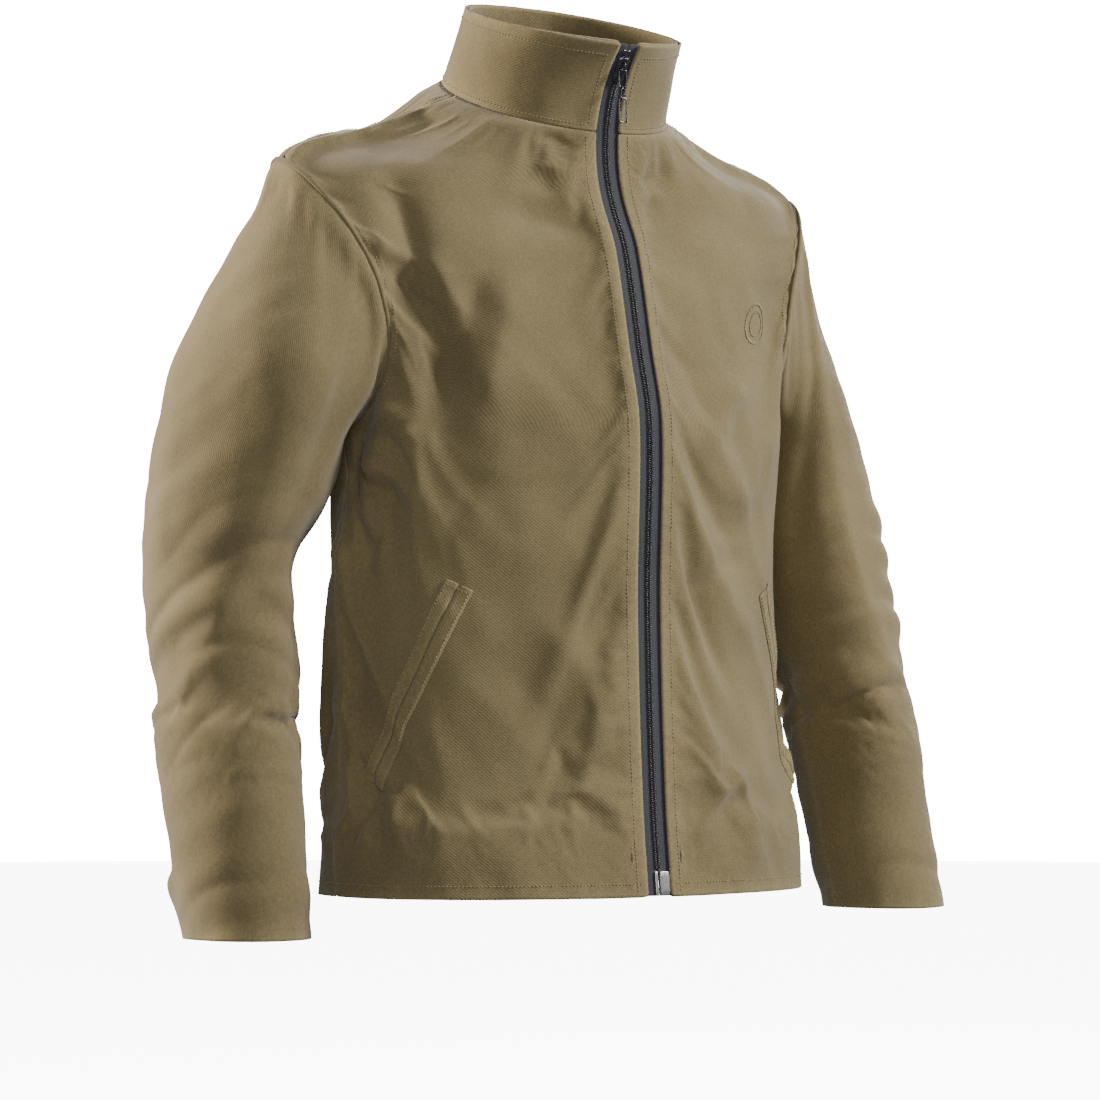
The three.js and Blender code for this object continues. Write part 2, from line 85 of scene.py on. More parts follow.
@dataclass(frozen=True)
class Sizes:
    """Driving sizes in millimetres."""

    hem_drop: float = 685.0
    armpit_drop: float = 290.0
    shoulder_drop: float = 68.0
    shoulder_half_width: float = 260.0
    zip_opening: float = 11.5
    tape_half_width: float = 16.0
    cloth: float = 1.3
    collar_height: float = 72.0
    collar_base_front: float = -38.0
    arc_y: float = -199.7
    arc_z: float = -51.7
    arc_radius: float = 115.7
    arc_lowest: float = -105.0
    squareness: float = 2.15
    armhole_front: float = math.radians(30)
    armhole_back: float = math.radians(22)


SIZE = Sizes()
ARMPIT_ROW, SHOULDER_ROW, NECK_ROW = 2.0, 4.0, 6.0
ARMHOLE_ROW = (ARMPIT_ROW + SHOULDER_ROW) / 2
# Millimetres of cloth to a radian round the chest, and to a row near the armhole.
GIRTH, ROW_HEIGHT = 170, 160
# Where a sleeve's cloth starts beyond the armhole, as a share of its length, and that length.
SLEEVE_START, SLEEVE_LENGTH = 0.0008, 640
# Millimetres for one step of the waves at a raw cloth edge.
HEM_WAVE = (11, 11, 60)


def through(xs: Sequence[float], ys: Sequence[float], x: Array) -> Array:
    """Smooth values through points.

    Args:
        xs: Rising positions.
        ys: Values at them.
        x: Where the values are wanted.

    Returns:
        One value for each x.
    """
    xs, ys = np.asarray(xs, float), np.asarray(ys, float)
    slope = np.empty(len(xs))
    slope[1:-1] = (ys[2:] - ys[:-2]) / (xs[2:] - xs[:-2])
    slope[0] = (ys[1] - ys[0]) / (xs[1] - xs[0])
    slope[-1] = (ys[-1] - ys[-2]) / (xs[-1] - xs[-2])
    i = np.clip(np.searchsorted(xs, x) - 1, 0, len(xs) - 2)
    span = xs[i + 1] - xs[i]
    t = (x - xs[i]) / span
    rise = t * t * (3 - 2 * t)
    swing = slope[i] * t * (1 - t) ** 2 - slope[i + 1] * t * t * (1 - t)
    return ys[i] + (ys[i + 1] - ys[i]) * rise + span * swing


def smooth(x: Array, low: float, high: float) -> Array:
    """A smooth step from 0 at low to 1 at high.

    Args:
        x: Where the value is wanted.
        low: Where the step starts.
        high: Where it ends.

    Returns:
        Values from 0 to 1.
    """
    t = np.clip((np.asarray(x, float) - low) / (high - low), 0, 1)
    return t * t * (3 - 2 * t)


FRONT_FALL = (
    (-SIZE.hem_drop, -163), (-600, -154), (-440, -147), (-SIZE.armpit_drop, -150),
    (-226, -135), (-140, -114), (SIZE.arc_lowest, -97),
)
STATIONS = {
    "side": (-SIZE.hem_drop, -480, -SIZE.armpit_drop, -170, -SIZE.shoulder_drop, -34, -3),
    "front": (-SIZE.hem_drop, -480, -SIZE.armpit_drop, -190, -92, -62, SIZE.collar_base_front),
    "back": (-SIZE.hem_drop, -480, -SIZE.armpit_drop, -160, -40, -2, 32),
    "width": (226, 217, 208, 240, SIZE.shoulder_half_width, 180, 100),
    "y": (-12, -8, 8, 16, 20, 10, 0),
    "y_back": (105, 110, 116, 114, 104, 95, 85),
}


def station(key: str, row: Array) -> Array:
    """A torso station's value at a row.

    Args:
        key: Which line of stations.
        row: Torso rows.

    Returns:
        Millimetres at each row.
    """
    values = STATIONS[key]
    return through(range(len(values)), values, row)


def centre_front(z: Array) -> Array:
    """Y of the zip's line at a height.

    Args:
        z: Heights in millimetres.

    Returns:
        Y in millimetres.
    """
    on_arc = SIZE.arc_radius ** 2 - (np.maximum(z, SIZE.arc_lowest) - SIZE.arc_z) ** 2
    arc = SIZE.arc_y + np.sqrt(np.maximum(on_arc, 0))
    fall = through(*zip(*FRONT_FALL), np.minimum(z, SIZE.arc_lowest))
    return np.where(z > SIZE.arc_lowest, arc, fall)


def torso_point(angle: Array, row: Array) -> Array:
    """A point of the torso.

    Args:
        angle: Radians from the centre front, positive to the wearer's left.
        row: Torso rows.

    Returns:
        Points in millimetres.
    """
    power = 2 / SIZE.squareness
    sine, cosine = np.sin(angle), np.cos(angle)
    sideways = np.abs(sine) ** power * np.sign(sine)
    forward = np.abs(cosine) ** power
    front, side, y_side = station("front", row), station("side", row), station("y", row)
    y = np.where(cosine > 0, centre_front(front), station("y_back", row))
    z = np.where(cosine > 0, front, station("back", row))
    return np.stack([station("width", row) * sideways,
                     y_side + (y - y_side) * forward, side + (z - side) * forward], -1)


def collar_point(angle: Array, t: Array) -> Array:
    """A point of the collar.

    Args:
        angle: Radians from the centre front.
        t: 0 at the seam and 1 at the rim.

    Returns:
        Points in millimetres.
    """
    base = torso_point(angle, np.full_like(angle, NECK_ROW))
    y = -32 - 90 * np.cos(angle)
    top = np.stack([95 * np.sin(angle), y,
                    SIZE.collar_base_front + SIZE.collar_height + 0.32 * (y + 122)], -1)
    point = base + (top - base) * t[..., None]
    start = centre_front(np.float64(SIZE.collar_base_front))
    curved = centre_front(SIZE.collar_base_front + SIZE.collar_height * t) - (start + (-122 - start) * t)
    point[..., 1] += curved * np.maximum(0, np.cos(angle)) ** 2
    return point


def armhole_angle(row: Array, inset: float) -> Array:
    """The armhole edge's angle from the centre line at a row.

    Args:
        row: Torso rows.
        inset: The armhole's reach into the panel, in radians.

    Returns:
        Radians.
    """
    height = np.clip(row - ARMHOLE_ROW, -1, 1)
    return math.pi / 2 - inset * np.sqrt(1 - height * height)


def angle_at_x(x: float, row: Array) -> Array:
    """The angle at which a torso row stands at a distance from the middle plane."""
    return np.arcsin((x / station("width", row)) ** (SIZE.squareness / 2))


def wrapped(angle: Array) -> Array:
    """The same angles, less than half a turn either way from the centre front."""
    return np.mod(angle + math.pi, 2 * math.pi) - math.pi


def row_at_height(z: Array) -> Array:
    """The torso row whose side stands at a height.

    Args:
        z: Heights in millimetres.

    Returns:
        Torso rows.
    """
    rows = np.linspace(0, SHOULDER_ROW, 801)
    return np.interp(z, station("side", rows), rows)


@dataclass(frozen=True)
class Ring:
    """One section of a sleeve: its centre, lean from upright and half sizes."""

    centre: tuple[float, float, float]
    tilt: float
    across: float
    depth: float


SLEEVES = {
    Side.RIGHT: (
        Ring((278, 28, -255), 60, 74, 96), Ring((289, 52, -335), 82, 70, 95),
        Ring((305, 62, -409), 90, 59, 78), Ring((303, 42, -514), 90, 58, 73),
        Ring((300, 22, -620), 90, 54, 64), Ring((298, 8, -718), 90, 50, 56),
    ),
    Side.LEFT: (
        Ring((268, 36, -256), 62, 60, 84), Ring((281, 25, -330), 80, 65, 84),
        Ring((290, -2, -405), 90, 58, 76), Ring((296, -26, -510), 90, 56, 70),
        Ring((299, -48, -610), 90, 52, 62), Ring((303, -72, -705), 90, 50, 56),
    ),
}


def sleeve_point(side: Side, turn: Array, t: Array) -> Array:
    """A point of a sleeve.

    Args:
        side: The wearer's side.
        turn: Radians, 0 at its top and a quarter turn at its front.
        t: 0 at the armhole and 1 at the cuff.

    Returns:
        Points in millimetres.
    """
    row = ARMHOLE_ROW + np.cos(turn)
    inset = np.where(np.sin(turn) > 0, SIZE.armhole_front, -SIZE.armhole_back)
    knots = [torso_point(side.value * (math.pi / 2 - inset * np.abs(np.sin(turn))), row)]
    for ring in SLEEVES[side]:
        lean, out = math.radians(ring.tilt), ring.across * np.cos(turn)
        x, y, z = ring.centre
        knots.append(np.stack([side.value * (x + out * math.sin(lean)),
                               y - ring.depth * np.sin(turn), z + out * math.cos(lean)], -1))
    knots = [2 * knots[0] - knots[1], *knots, 2 * knots[-1] - knots[-2]]
    knots = np.stack(knots)
    spans = len(SLEEVES[side])
    place = np.clip(t, 0, 1) * spans
    i = np.minimum(place.astype(int), spans - 1)
    w = (place - i)[..., None]
    pick = np.arange(len(turn))
    a, b, c, d = (knots[i + k, pick] for k in range(4))
    gap = [np.linalg.norm(q - p, axis=-1, keepdims=True) ** 0.5 for p, q in ((a, b), (b, c), (c, d))]
    start = ((b - a) / gap[0] - (c - a) / (gap[0] + gap[1]) + (c - b) / gap[1]) * gap[1]
    end = ((c - b) / gap[1] - (d - b) / (gap[1] + gap[2]) + (d - c) / gap[2]) * gap[1]
    return (b + start * w + (-3 * b + 3 * c - 2 * start - end) * w ** 2
            + (2 * b - 2 * c + start + end) * w ** 3)


def outward(point_at: Callable[[Array, Array], Array], u: Array, v: Array, flip: float) -> Array:
    """Unit normals of a surface, by small steps.

    Args:
        point_at: The surface.
        u: Its first values.
        v: Its second values.
        flip: 1 or -1, whichever makes the normals face out.

    Returns:
        One unit normal for each value.
    """
    step = 0.004
    along_u = point_at(u + step, v) - point_at(u - step, v)
    along_v = point_at(u, v + step) - point_at(u, v - step)
    normal = np.cross(along_u, along_v) * flip
    return normal / np.maximum(np.linalg.norm(normal, axis=-1, keepdims=True), 1e-9)


# ---- Folds -----------------------------------------------------------------------------------


class Crease(Enum):
    """How a fold's section runs."""

    SOFT = "soft"
    LEDGE = "ledge"


@dataclass(frozen=True)
class Fold:
    """A fold drawn on the plane that faces the jacket's front quarter.

    line holds (sideways, height) points in millimetres; lift is out of the cloth.
    """

    line: tuple[tuple[float, float], ...]
    lift: float
    width: float
    kind: Crease = Crease.SOFT

    def at(self, flat: Array) -> Array:
        """How far the fold lifts the cloth.

        Args:
            flat: Points of the fold's plane, (sideways, height) in millimetres.

        Returns:
            Millimetres of lift.
        """
        line = np.asarray(self.line, float)
        lengths = np.linalg.norm(line[1:] - line[:-1], axis=1)
        reach = np.concatenate([[0], np.cumsum(lengths)])
        best = np.full(len(flat), 1e9)
        signed = np.zeros(len(flat))
        along = np.zeros(len(flat))
        for k in range(len(lengths)):
            step = line[k + 1] - line[k]
            offset = flat - line[k]
            t = np.clip(offset @ step / lengths[k] ** 2, 0, 1)
            rest = offset - t[:, None] * step
            distance = np.linalg.norm(rest, axis=1)
            closer = distance < best
            best = np.where(closer, distance, best)
            turn = step[0] * offset[:, 1] - step[1] * offset[:, 0]
            signed = np.where(closer, np.sign(turn) * distance, signed)
            along = np.where(closer, (reach[k] + t * lengths[k]) / reach[-1], along)
        taper = smooth(along, 0, 0.3) * smooth(1 - along, 0, 0.3) * 0.85 + 0.15
        if self.kind is Crease.LEDGE:
            gentle = np.exp(-(np.maximum(signed, 0) / self.width) ** 1.5)
            steep = np.exp(-(np.minimum(signed, 0) / (self.width * 0.22)) ** 2)
            return self.lift * taper * np.where(signed > 0, gentle, steep)
        return self.lift * taper * np.exp(-(best / (0.8 * self.width)) ** 1.5)


VIEW_TURN = math.radians(-33)
QUARTER = np.array([math.cos(VIEW_TURN), math.sin(VIEW_TURN), 0])
TOWARDS = np.array([math.sin(VIEW_TURN), -math.cos(VIEW_TURN), 0])

FOLD_DEPTH = 1.9
BODY_FOLDS = (
    Fold(((-152, -160), (-118, -176), (-96, -214), (-88, -290)), -5, 17),
    Fold(((-150, -140), (-104, -150), (-72, -196), (-62, -270)), 4, 18),
    Fold(((-158, -286), (-134, -298), (-118, -322)), -4, 8),
    Fold(((-160, -272), (-130, -282), (-108, -304)), 4, 9),
    Fold(((-168, -318), (-140, -326), (-118, -346)), 4, 8),
    Fold(((-166, -334), (-136, -344), (-112, -362)), -3.5, 8),
    Fold(((-120, -410), (-84, -372), (-52, -318)), -3, 16),
    Fold(((-176, -540), (-150, -600), (-140, -660)), -3.5, 12),
    Fold(((120, -430), (150, -400), (180, -390)), -3, 10),
    Fold(((108, -660), (140, -600), (180, -570)), 3, 14),
    Fold(((-22, -36), (2, -43), (30, -56)), -3.5, 9),
    Fold(((-22, -64), (28, -74)), 3, 10),
    Fold(((-43, -106), (-5, -112), (38, -126)), -3, 11),
    Fold(((-40, -88), (36, -98)), 2.5, 11),
    Fold(((70, -80), (101, -68), (112, -52)), -4, 9),
    Fold(((78, -104), (102, -88)), -3.5, 9),
    Fold(((74, -92), (104, -78)), 2.5, 8),
    Fold(((-141, -60), (-123, -104), (-114, -143), (-129, -197)), -7, 17),
    Fold(((-150, -120), (-143, -165), (-146, -205)), 4, 13),
    Fold(((-54, -150), (-68, -197), (-76, -244), (-92, -280)), -5, 20),
    Fold(((-30, -150), (-42, -215), (-58, -290)), 4, 26),
    Fold(((-150, -250), (-166, -300), (-172, -360)), -6, 14),
    Fold(((-130, -262), (-150, -318), (-160, -390)), 5, 15),
    Fold(((-112, -300), (-140, -352), (-165, -430)), -4, 16),
    Fold(((-188, -372), (-168, -420), (-166, -470)), 4, 16),
    Fold(((-100, -400), (-60, -330), (-20, -290)), 3, 24),
    Fold(((-60, -470), (-10, -520), (20, -600)), -3, 26),
    Fold(((-20, -440), (30, -500), (50, -590)), 3, 24),
    Fold(((-159, -595), (-182, -640)), 3.5, 8),
    Fold(((-148, -599), (-160, -650)), 3.5, 7),
    Fold(((-140, -593), (-131, -634)), 3, 8),
    Fold(((-152, -604), (-170, -645)), -3, 6),
    Fold(((127, -270), (160, -330), (182, -372)), 4, 16),
    Fold(((112, -285), (140, -345), (172, -400)), -4, 14),
    Fold(((119, -360), (150, -420), (184, -480)), 4, 17),
    Fold(((104, -385), (135, -450), (175, -520)), -4, 16),
    Fold(((96, -470), (130, -540), (150, -610)), 3, 18),
    Fold(((100, -205), (128, -240), (150, -290)), -3, 14),
    Fold(((178, -240), (160, -262), (142, -300)), 4, 12),
    Fold(((104, -585), (112, -640), (108, -684)), -4, 20),
    Fold(((150, -560), (165, -620), (170, -684)), 4, 18),
)
SLEEVE_FOLDS = {
    Side.RIGHT: (
        Fold(((-206, -84), (-187, -123), (-171, -166), (-157, -236)), -7, 12),
        Fold(((-228, -70), (-261, -136), (-282, -184), (-302, -223), (-340, -331)), -8, 13),
        Fold(((-240, -66), (-282, -140), (-318, -215), (-350, -310)), 5, 14),
        Fold(((-215, -110), (-222, -180), (-232, -250)), 4, 18),
        Fold(((-190, -200), (-205, -262), (-232, -318)), -5, 14),
        Fold(((-170, -250), (-200, -300), (-228, -345)), 5, 12),
        Fold(((-228, -412), (-246, -358), (-259, -318)), 10, 20, Crease.LEDGE),
        Fold(((-218, -428), (-254, -417), (-288, -395), (-336, -362)), 11, 24, Crease.LEDGE),
        Fold(((-250, -452), (-300, -436), (-340, -408)), -5, 13),
        Fold(((-322, -312), (-331, -345), (-344, -372)), 6, 9),
        Fold(((-337, -470), (-318, -512), (-290, -548)), 6, 13),
        Fold(((-340, -520), (-300, -575), (-262, -600)), -5, 14),
        Fold(((-236, -460), (-240, -520), (-256, -575)), -4, 14),
        Fold(((-330, -600), (-290, -640), (-240, -655)), 4, 15),
        Fold(((-232, -610), (-250, -668), (-270, -705)), -4, 13),
        Fold(((-318, -660), (-300, -700)), -4, 11),
    ),
    Side.LEFT: (
        Fold(((209, -152), (213, -175), (228, -180), (250, -170)), 6, 9),
        Fold(((246, -182), (228, -218), (198, -262)), -7, 11),
        Fold(((256, -205), (246, -250), (220, -300)), 6, 14),
        Fold(((270, -262), (248, -306), (222, -350)), -6, 14),
        Fold(((210, -100), (222, -130), (232, -160)), -4, 12),
        Fold(((284, -330), (262, -372), (236, -400)), 6, 15),
        Fold(((300, -400), (270, -420), (236, -424)), -7, 13),
        Fold(((236, -470), (270, -462), (300, -440)), 8, 22, Crease.LEDGE),
        Fold(((222, -528), (262, -522), (304, -526)), -6, 12),
        Fold(((226, -556), (270, -560), (314, -580)), 5, 14),
        Fold(((252, -600), (268, -640), (276, -690)), -5, 10),
        Fold(((300, -600), (316, -650), (322, -690)), 4, 12),
    ),
}


def ripple(points: Array, scale: tuple[float, float, float], seed: float) -> Array:
    """Smooth noise between about -1 and 1.

    Args:
        points: Points in millimetres.
        scale: Millimetres for one step along each axis.
        seed: A place of its own in the noise.

    Returns:
        One value for each point.
    """
    stretched = points / np.asarray(scale)
    return np.array([noise.noise(Vector(p) + Vector((seed, -seed, seed * 0.7))) for p in stretched])


def crinkle(points: Array, scale: tuple[float, float, float], seed: float) -> Array:
    """Noise with sharp ridges, for small creases.

    Args:
        points: Points in millimetres.
        scale: Millimetres for one step along each axis.
        seed: A place of its own in the noise.

    Returns:
        Values between about -2 and 1, highest along the ridges.
    """
    return 1 - 3.2 * np.abs(ripple(points, scale, seed))


def fold_lift(points: Array, normals: Array, folds: Iterable[Fold]) -> Array:
    """The lift of drawn folds on the cloth that faces the front quarter.

    Args:
        points: Points in millimetres.
        normals: Their outward normals.
        folds: The drawn folds.

    Returns:
        Millimetres of lift.
    """
    flat = np.stack([points @ QUARTER, points[:, 2]], -1)
    facing = smooth(normals @ TOWARDS, -0.15, 0.3)
    total = np.zeros(len(points))
    for fold in folds:
        total += fold.at(flat)
    return total * facing * FOLD_DEPTH


@dataclass
class Settled:
    """How far a settled sheet moved, on its grid, with the way back from the surface's values."""

    moved: Array
    across: Callable[[Array, Array], Array]
    along: Callable[[Array], Array]

    def at(self, first: Array, second: Array) -> Array:
        """The movement at surface values, between grid points.

        Args:
            first: The surface's first values.
            second: Its second values.

        Returns:
            Movements in millimetres.
        """
        tall, wide = self.moved.shape[0] - 1, self.moved.shape[1] - 1
        x = np.clip(self.across(first, second), 0, 1) * wide
        y = np.clip(self.along(second), 0, 1) * tall
        i, j = np.minimum(y.astype(int), tall - 1), np.minimum(x.astype(int), wide - 1)
        s, t = (x - j)[..., None], (y - i)[..., None]
        near = self.moved[i, j] * (1 - s) + self.moved[i, j + 1] * s
        far = self.moved[i + 1, j] * (1 - s) + self.moved[i + 1, j + 1] * s
        return near * (1 - t) + far * t


SETTLED: dict[str, Settled] = {}


class Torso:
    """The torso's folded surface."""

    @staticmethod
    def place(angle: Array, row: Array) -> tuple[Array, Array]:
        """Folded and settled points with outward normals at angles and rows.

        Args:
            angle: Radians from the centre front.
            row: Torso rows.

        Returns:
            Points and unit outward normals, in millimetres.
        """
        point, normal = Torso.folded(angle, row)
        angle, row = np.broadcast_arrays(np.asarray(angle, float), np.asarray(row, float))
        turned = wrapped(angle)
        owner = {"back": np.cos(angle) <= 0, "left": (np.cos(angle) > 0) & (turned >= 0),
                 "right": (np.cos(angle) > 0) & (turned < 0)}
        for name, mine in owner.items():
            if name in SETTLED and mine.any():
                point[mine] += SETTLED[name].at(turned[mine], row[mine])
        return point, normal

    @staticmethod
    def folded(angle: Array, row: Array) -> tuple[Array, Array]:
        """Folded points and outward normals at angles and rows, before the cloth settles.

        Args:
            angle: Radians from the centre front.
            row: Torso rows.

        Returns:
            Points and unit outward normals, in millimetres.
        """
        angle, row = np.broadcast_arrays(np.asarray(angle, float), np.asarray(row, float))
        point = torso_point(angle, row)
        normal = outward(torso_point, angle, row, 1.0)
        from_zip = smooth(np.abs(point[:, 0]) + 400 * (np.cos(angle) < 0), 16, 55)
        from_neck = smooth(NECK_ROW - row, 0.0, 0.5)
        inset = np.where(np.cos(angle) > 0, SIZE.armhole_front, SIZE.armhole_back)
        turned = wrapped(angle)
        apart = np.abs(np.abs(turned) - math.pi / 2)
        edge = np.where(np.abs(row - ARMHOLE_ROW) < 1,
                        apart - inset * np.sqrt(np.clip(1 - (row - ARMHOLE_ROW) ** 2, 0, 1)), 1.0)
        from_armhole = smooth(edge * GIRTH, 0, 26)
        near_shoulder = smooth(apart * GIRTH, 0, 20)
        from_armhole = np.where(row >= SHOULDER_ROW, near_shoulder * 0.6 + 0.4, from_armhole)
        around_armpit = smooth(np.hypot(apart * GIRTH, (row - ARMPIT_ROW) * ROW_HEIGHT), 0, 45)
        calm = from_zip * from_neck * from_armhole * around_armpit
        lift = fold_lift(point, normal, BODY_FOLDS)
        lift += 3.2 * ripple(point, (95, 95, 260), 3.1) + 2.2 * ripple(point, (60, 60, 70), 8.7)
        lift += 1.0 * ripple(point, (26, 26, 34), 5.2)
        slanted = point + np.stack([0.6 * point[:, 2], 0 * row, 0 * row], -1)
        side_area = smooth(np.abs(point[:, 0]), 60, 190) * smooth(-point[:, 2], 120, 300)
        lift += (0.5 + 1.3 * side_area) * crinkle(slanted, (46, 60, 150), 12.6)
        hem_end = 1 - smooth(point[:, 2] + SIZE.hem_drop, 8, 26)
        lift += 0.7 * hem_end * ripple(point, HEM_WAVE, 9.9)
        back = smooth(-np.cos(angle), -0.1, 0.3) * smooth(SHOULDER_ROW - row, 0, 1.5)
        lift += back * 5.0 * ripple(point + point[:, [2, 0, 1]] * 0.45, (48, 80, 210), 1.4)
        return point + normal * (lift * calm)[:, None], normal


def sleeve_place(side: Side) -> Place:
    """The folded surface of a sleeve.

    Args:
        side: The wearer's side.

    Returns:
        The surface, from turn and t to points and normals.
    """
    def place(turn: Array, t: Array) -> tuple[Array, Array]:
        """Folded points and outward normals.

        Args:
            turn: Radians round the sleeve.
            t: 0 at the armhole and 1 at the cuff.

        Returns:
            Points and unit outward normals, in millimetres.
        """
        turn, t = np.broadcast_arrays(np.asarray(turn, float), np.asarray(t, float))
        inner = np.clip(t, 0.006, 0.994)
        point = sleeve_point(side, turn, t)
        normal = outward(lambda a, b: sleeve_point(side, a, b), turn, inner, float(-side.value))
        calm = smooth(t, 0.0, 0.07)
        lift = 1.35 * fold_lift(point, normal, SLEEVE_FOLDS[side])
        elbow = np.exp(-((point[:, 2] + 420) / 75) ** 2) + 0.15 * np.exp(-((point[:, 2] + 690) / 50) ** 2)
        slanted = point + np.stack([0 * t, 0 * t, 0.5 * point[:, 1]], -1)
        behind = smooth(-(normal @ TOWARDS), -0.3, 0.3)
        lift += (1.5 + 4.0 * behind) * elbow * ripple(slanted, (120, 120, 26), 6.4 + side.value)
        lift += 4.0 * ripple(point, (80, 80, 150), 2.2 + side.value) + 1.2 * ripple(point, (34, 34, 40), 4.4)
        lift += 1.9 * (0.4 + elbow) * crinkle(slanted, (90, 90, 34), 17.3 + side.value)
        lift += 0.7 * smooth(t, 0.955, 0.975) * ripple(point, HEM_WAVE, 3.7)
        return point + normal * (lift * calm)[:, None], normal
    return place


def collar_place(angle: Array, t: Array) -> tuple[Array, Array]:
    """The collar's surface with a little life in it.

    Args:
        angle: Radians from the centre front.
        t: 0 at the seam and 1 at the rim.

    Returns:
        Points and unit outward normals, in millimetres.
    """
    angle, t = np.broadcast_arrays(np.asarray(angle, float), np.asarray(t, float))
    point = collar_point(angle, t)
    normal = outward(collar_point, angle, t, 1.0)
    calm = smooth(np.sin(np.minimum(angle, 2 * math.pi - angle) / 2), 0.12, 0.4) * smooth(t, 0, 0.25)
    lift = 1.6 * ripple(point, (55, 55, 45), 7.7) + 0.8 * ripple(point, (20, 20, 24), 2.9)
    return point + normal * (lift * calm)[:, None], normal


# ---- Mesh helpers ----------------------------------------------------------------------------


def new_object(name: str, bm: bmesh.types.BMesh, material: bpy.types.Material,
               smooth_faces: bool = True) -> bpy.types.Object:
    """Makes an object of a bmesh.

    Args:
        name: The piece's name.
        bm: Its mesh in metres, freed here.
        material: Its finish.
        smooth_faces: Whether its faces are shaded smooth.

    Returns:
        The linked object, at the origin.
    """
    mesh = bpy.data.meshes.new(name)
    for face in bm.faces:
        face.smooth = smooth_faces
    bm.to_mesh(mesh)
    bm.free()
    mesh.materials.append(material)
    thing = bpy.data.objects.new(name, mesh)
    bpy.context.scene.collection.objects.link(thing)
    log.info("%s: %d faces", name, len(mesh.polygons))
    return thing


@dataclass(frozen=True)
class Settle:
    """How a piece of cloth settles: a short simulation with slightly slack cloth.

    Attributes:
        hold: How firmly grid places are sewn down, from (across, along) to 0 to 1.
        slack: The share by which the cloth is longer than its pattern.
        frames: How many frames it settles for.
        gravity: The share of gravity that acts.
        cap: The furthest a point may move, in millimetres.
        steps: How many steps the solver takes in a frame.
        mass: The mass of a grid point, in kilograms.
        stretch: How stiff the cloth is along its threads.
        shear: How stiff it is across them.
        bend: How stiff it is to a fold.
    """

    hold: Callable[[Array, Array], Array]
    slack: float = 0.03
    frames: int = 16
    gravity: float = 0.35
    cap: float = 13.0
    steps: int = 7
    mass: float = 0.2
    stretch: float = 18
    shear: float = 10
    bend: float = 0.6

    def run(self, thing: bpy.types.Object, flat: Array) -> Array:
        """Simulates a piece and writes its settled shape into its mesh.

        Args:
            thing: The piece, with no modifiers.
            flat: Each vertex's (across, along).

        Returns:
            How far each vertex moved, in metres.
        """
        start = np.array([v.co[:] for v in thing.data.vertices])
        held = self.hold(flat[:, 0], flat[:, 1])
        group = thing.vertex_groups.new(name="sewn")
        for index, weight in enumerate(held):
            group.add([index], float(weight), "REPLACE")
        cloth = thing.modifiers.new("settle", "CLOTH")
        setting = cloth.settings
        setting.quality = self.steps
        setting.mass = self.mass
        setting.tension_stiffness = setting.compression_stiffness = self.stretch
        setting.shear_stiffness = self.shear
        setting.bending_stiffness = self.bend
        setting.shrink_min = -self.slack
        setting.vertex_group_mass = "sewn"
        setting.effector_weights.gravity = self.gravity
        cloth.collision_settings.use_collision = False
        cloth.point_cache.frame_start, cloth.point_cache.frame_end = 1, self.frames
        scene = bpy.context.scene
        for frame_number in range(1, self.frames + 1):
            scene.frame_set(frame_number)
        evaluated = thing.evaluated_get(bpy.context.evaluated_depsgraph_get())
        moved = np.array([v.co[:] for v in evaluated.to_mesh().vertices]) - start
        evaluated.to_mesh_clear()
        scene.frame_set(1)
        thing.modifiers.remove(cloth)
        thing.vertex_groups.remove(group)
        length = np.linalg.norm(moved, axis=1, keepdims=True)
        cap = self.cap * MM
        moved *= np.tanh(length / cap) * cap / np.maximum(length, 1e-9)
        for vert, point in zip(thing.data.vertices, start + moved):
            vert.co = point
        return moved


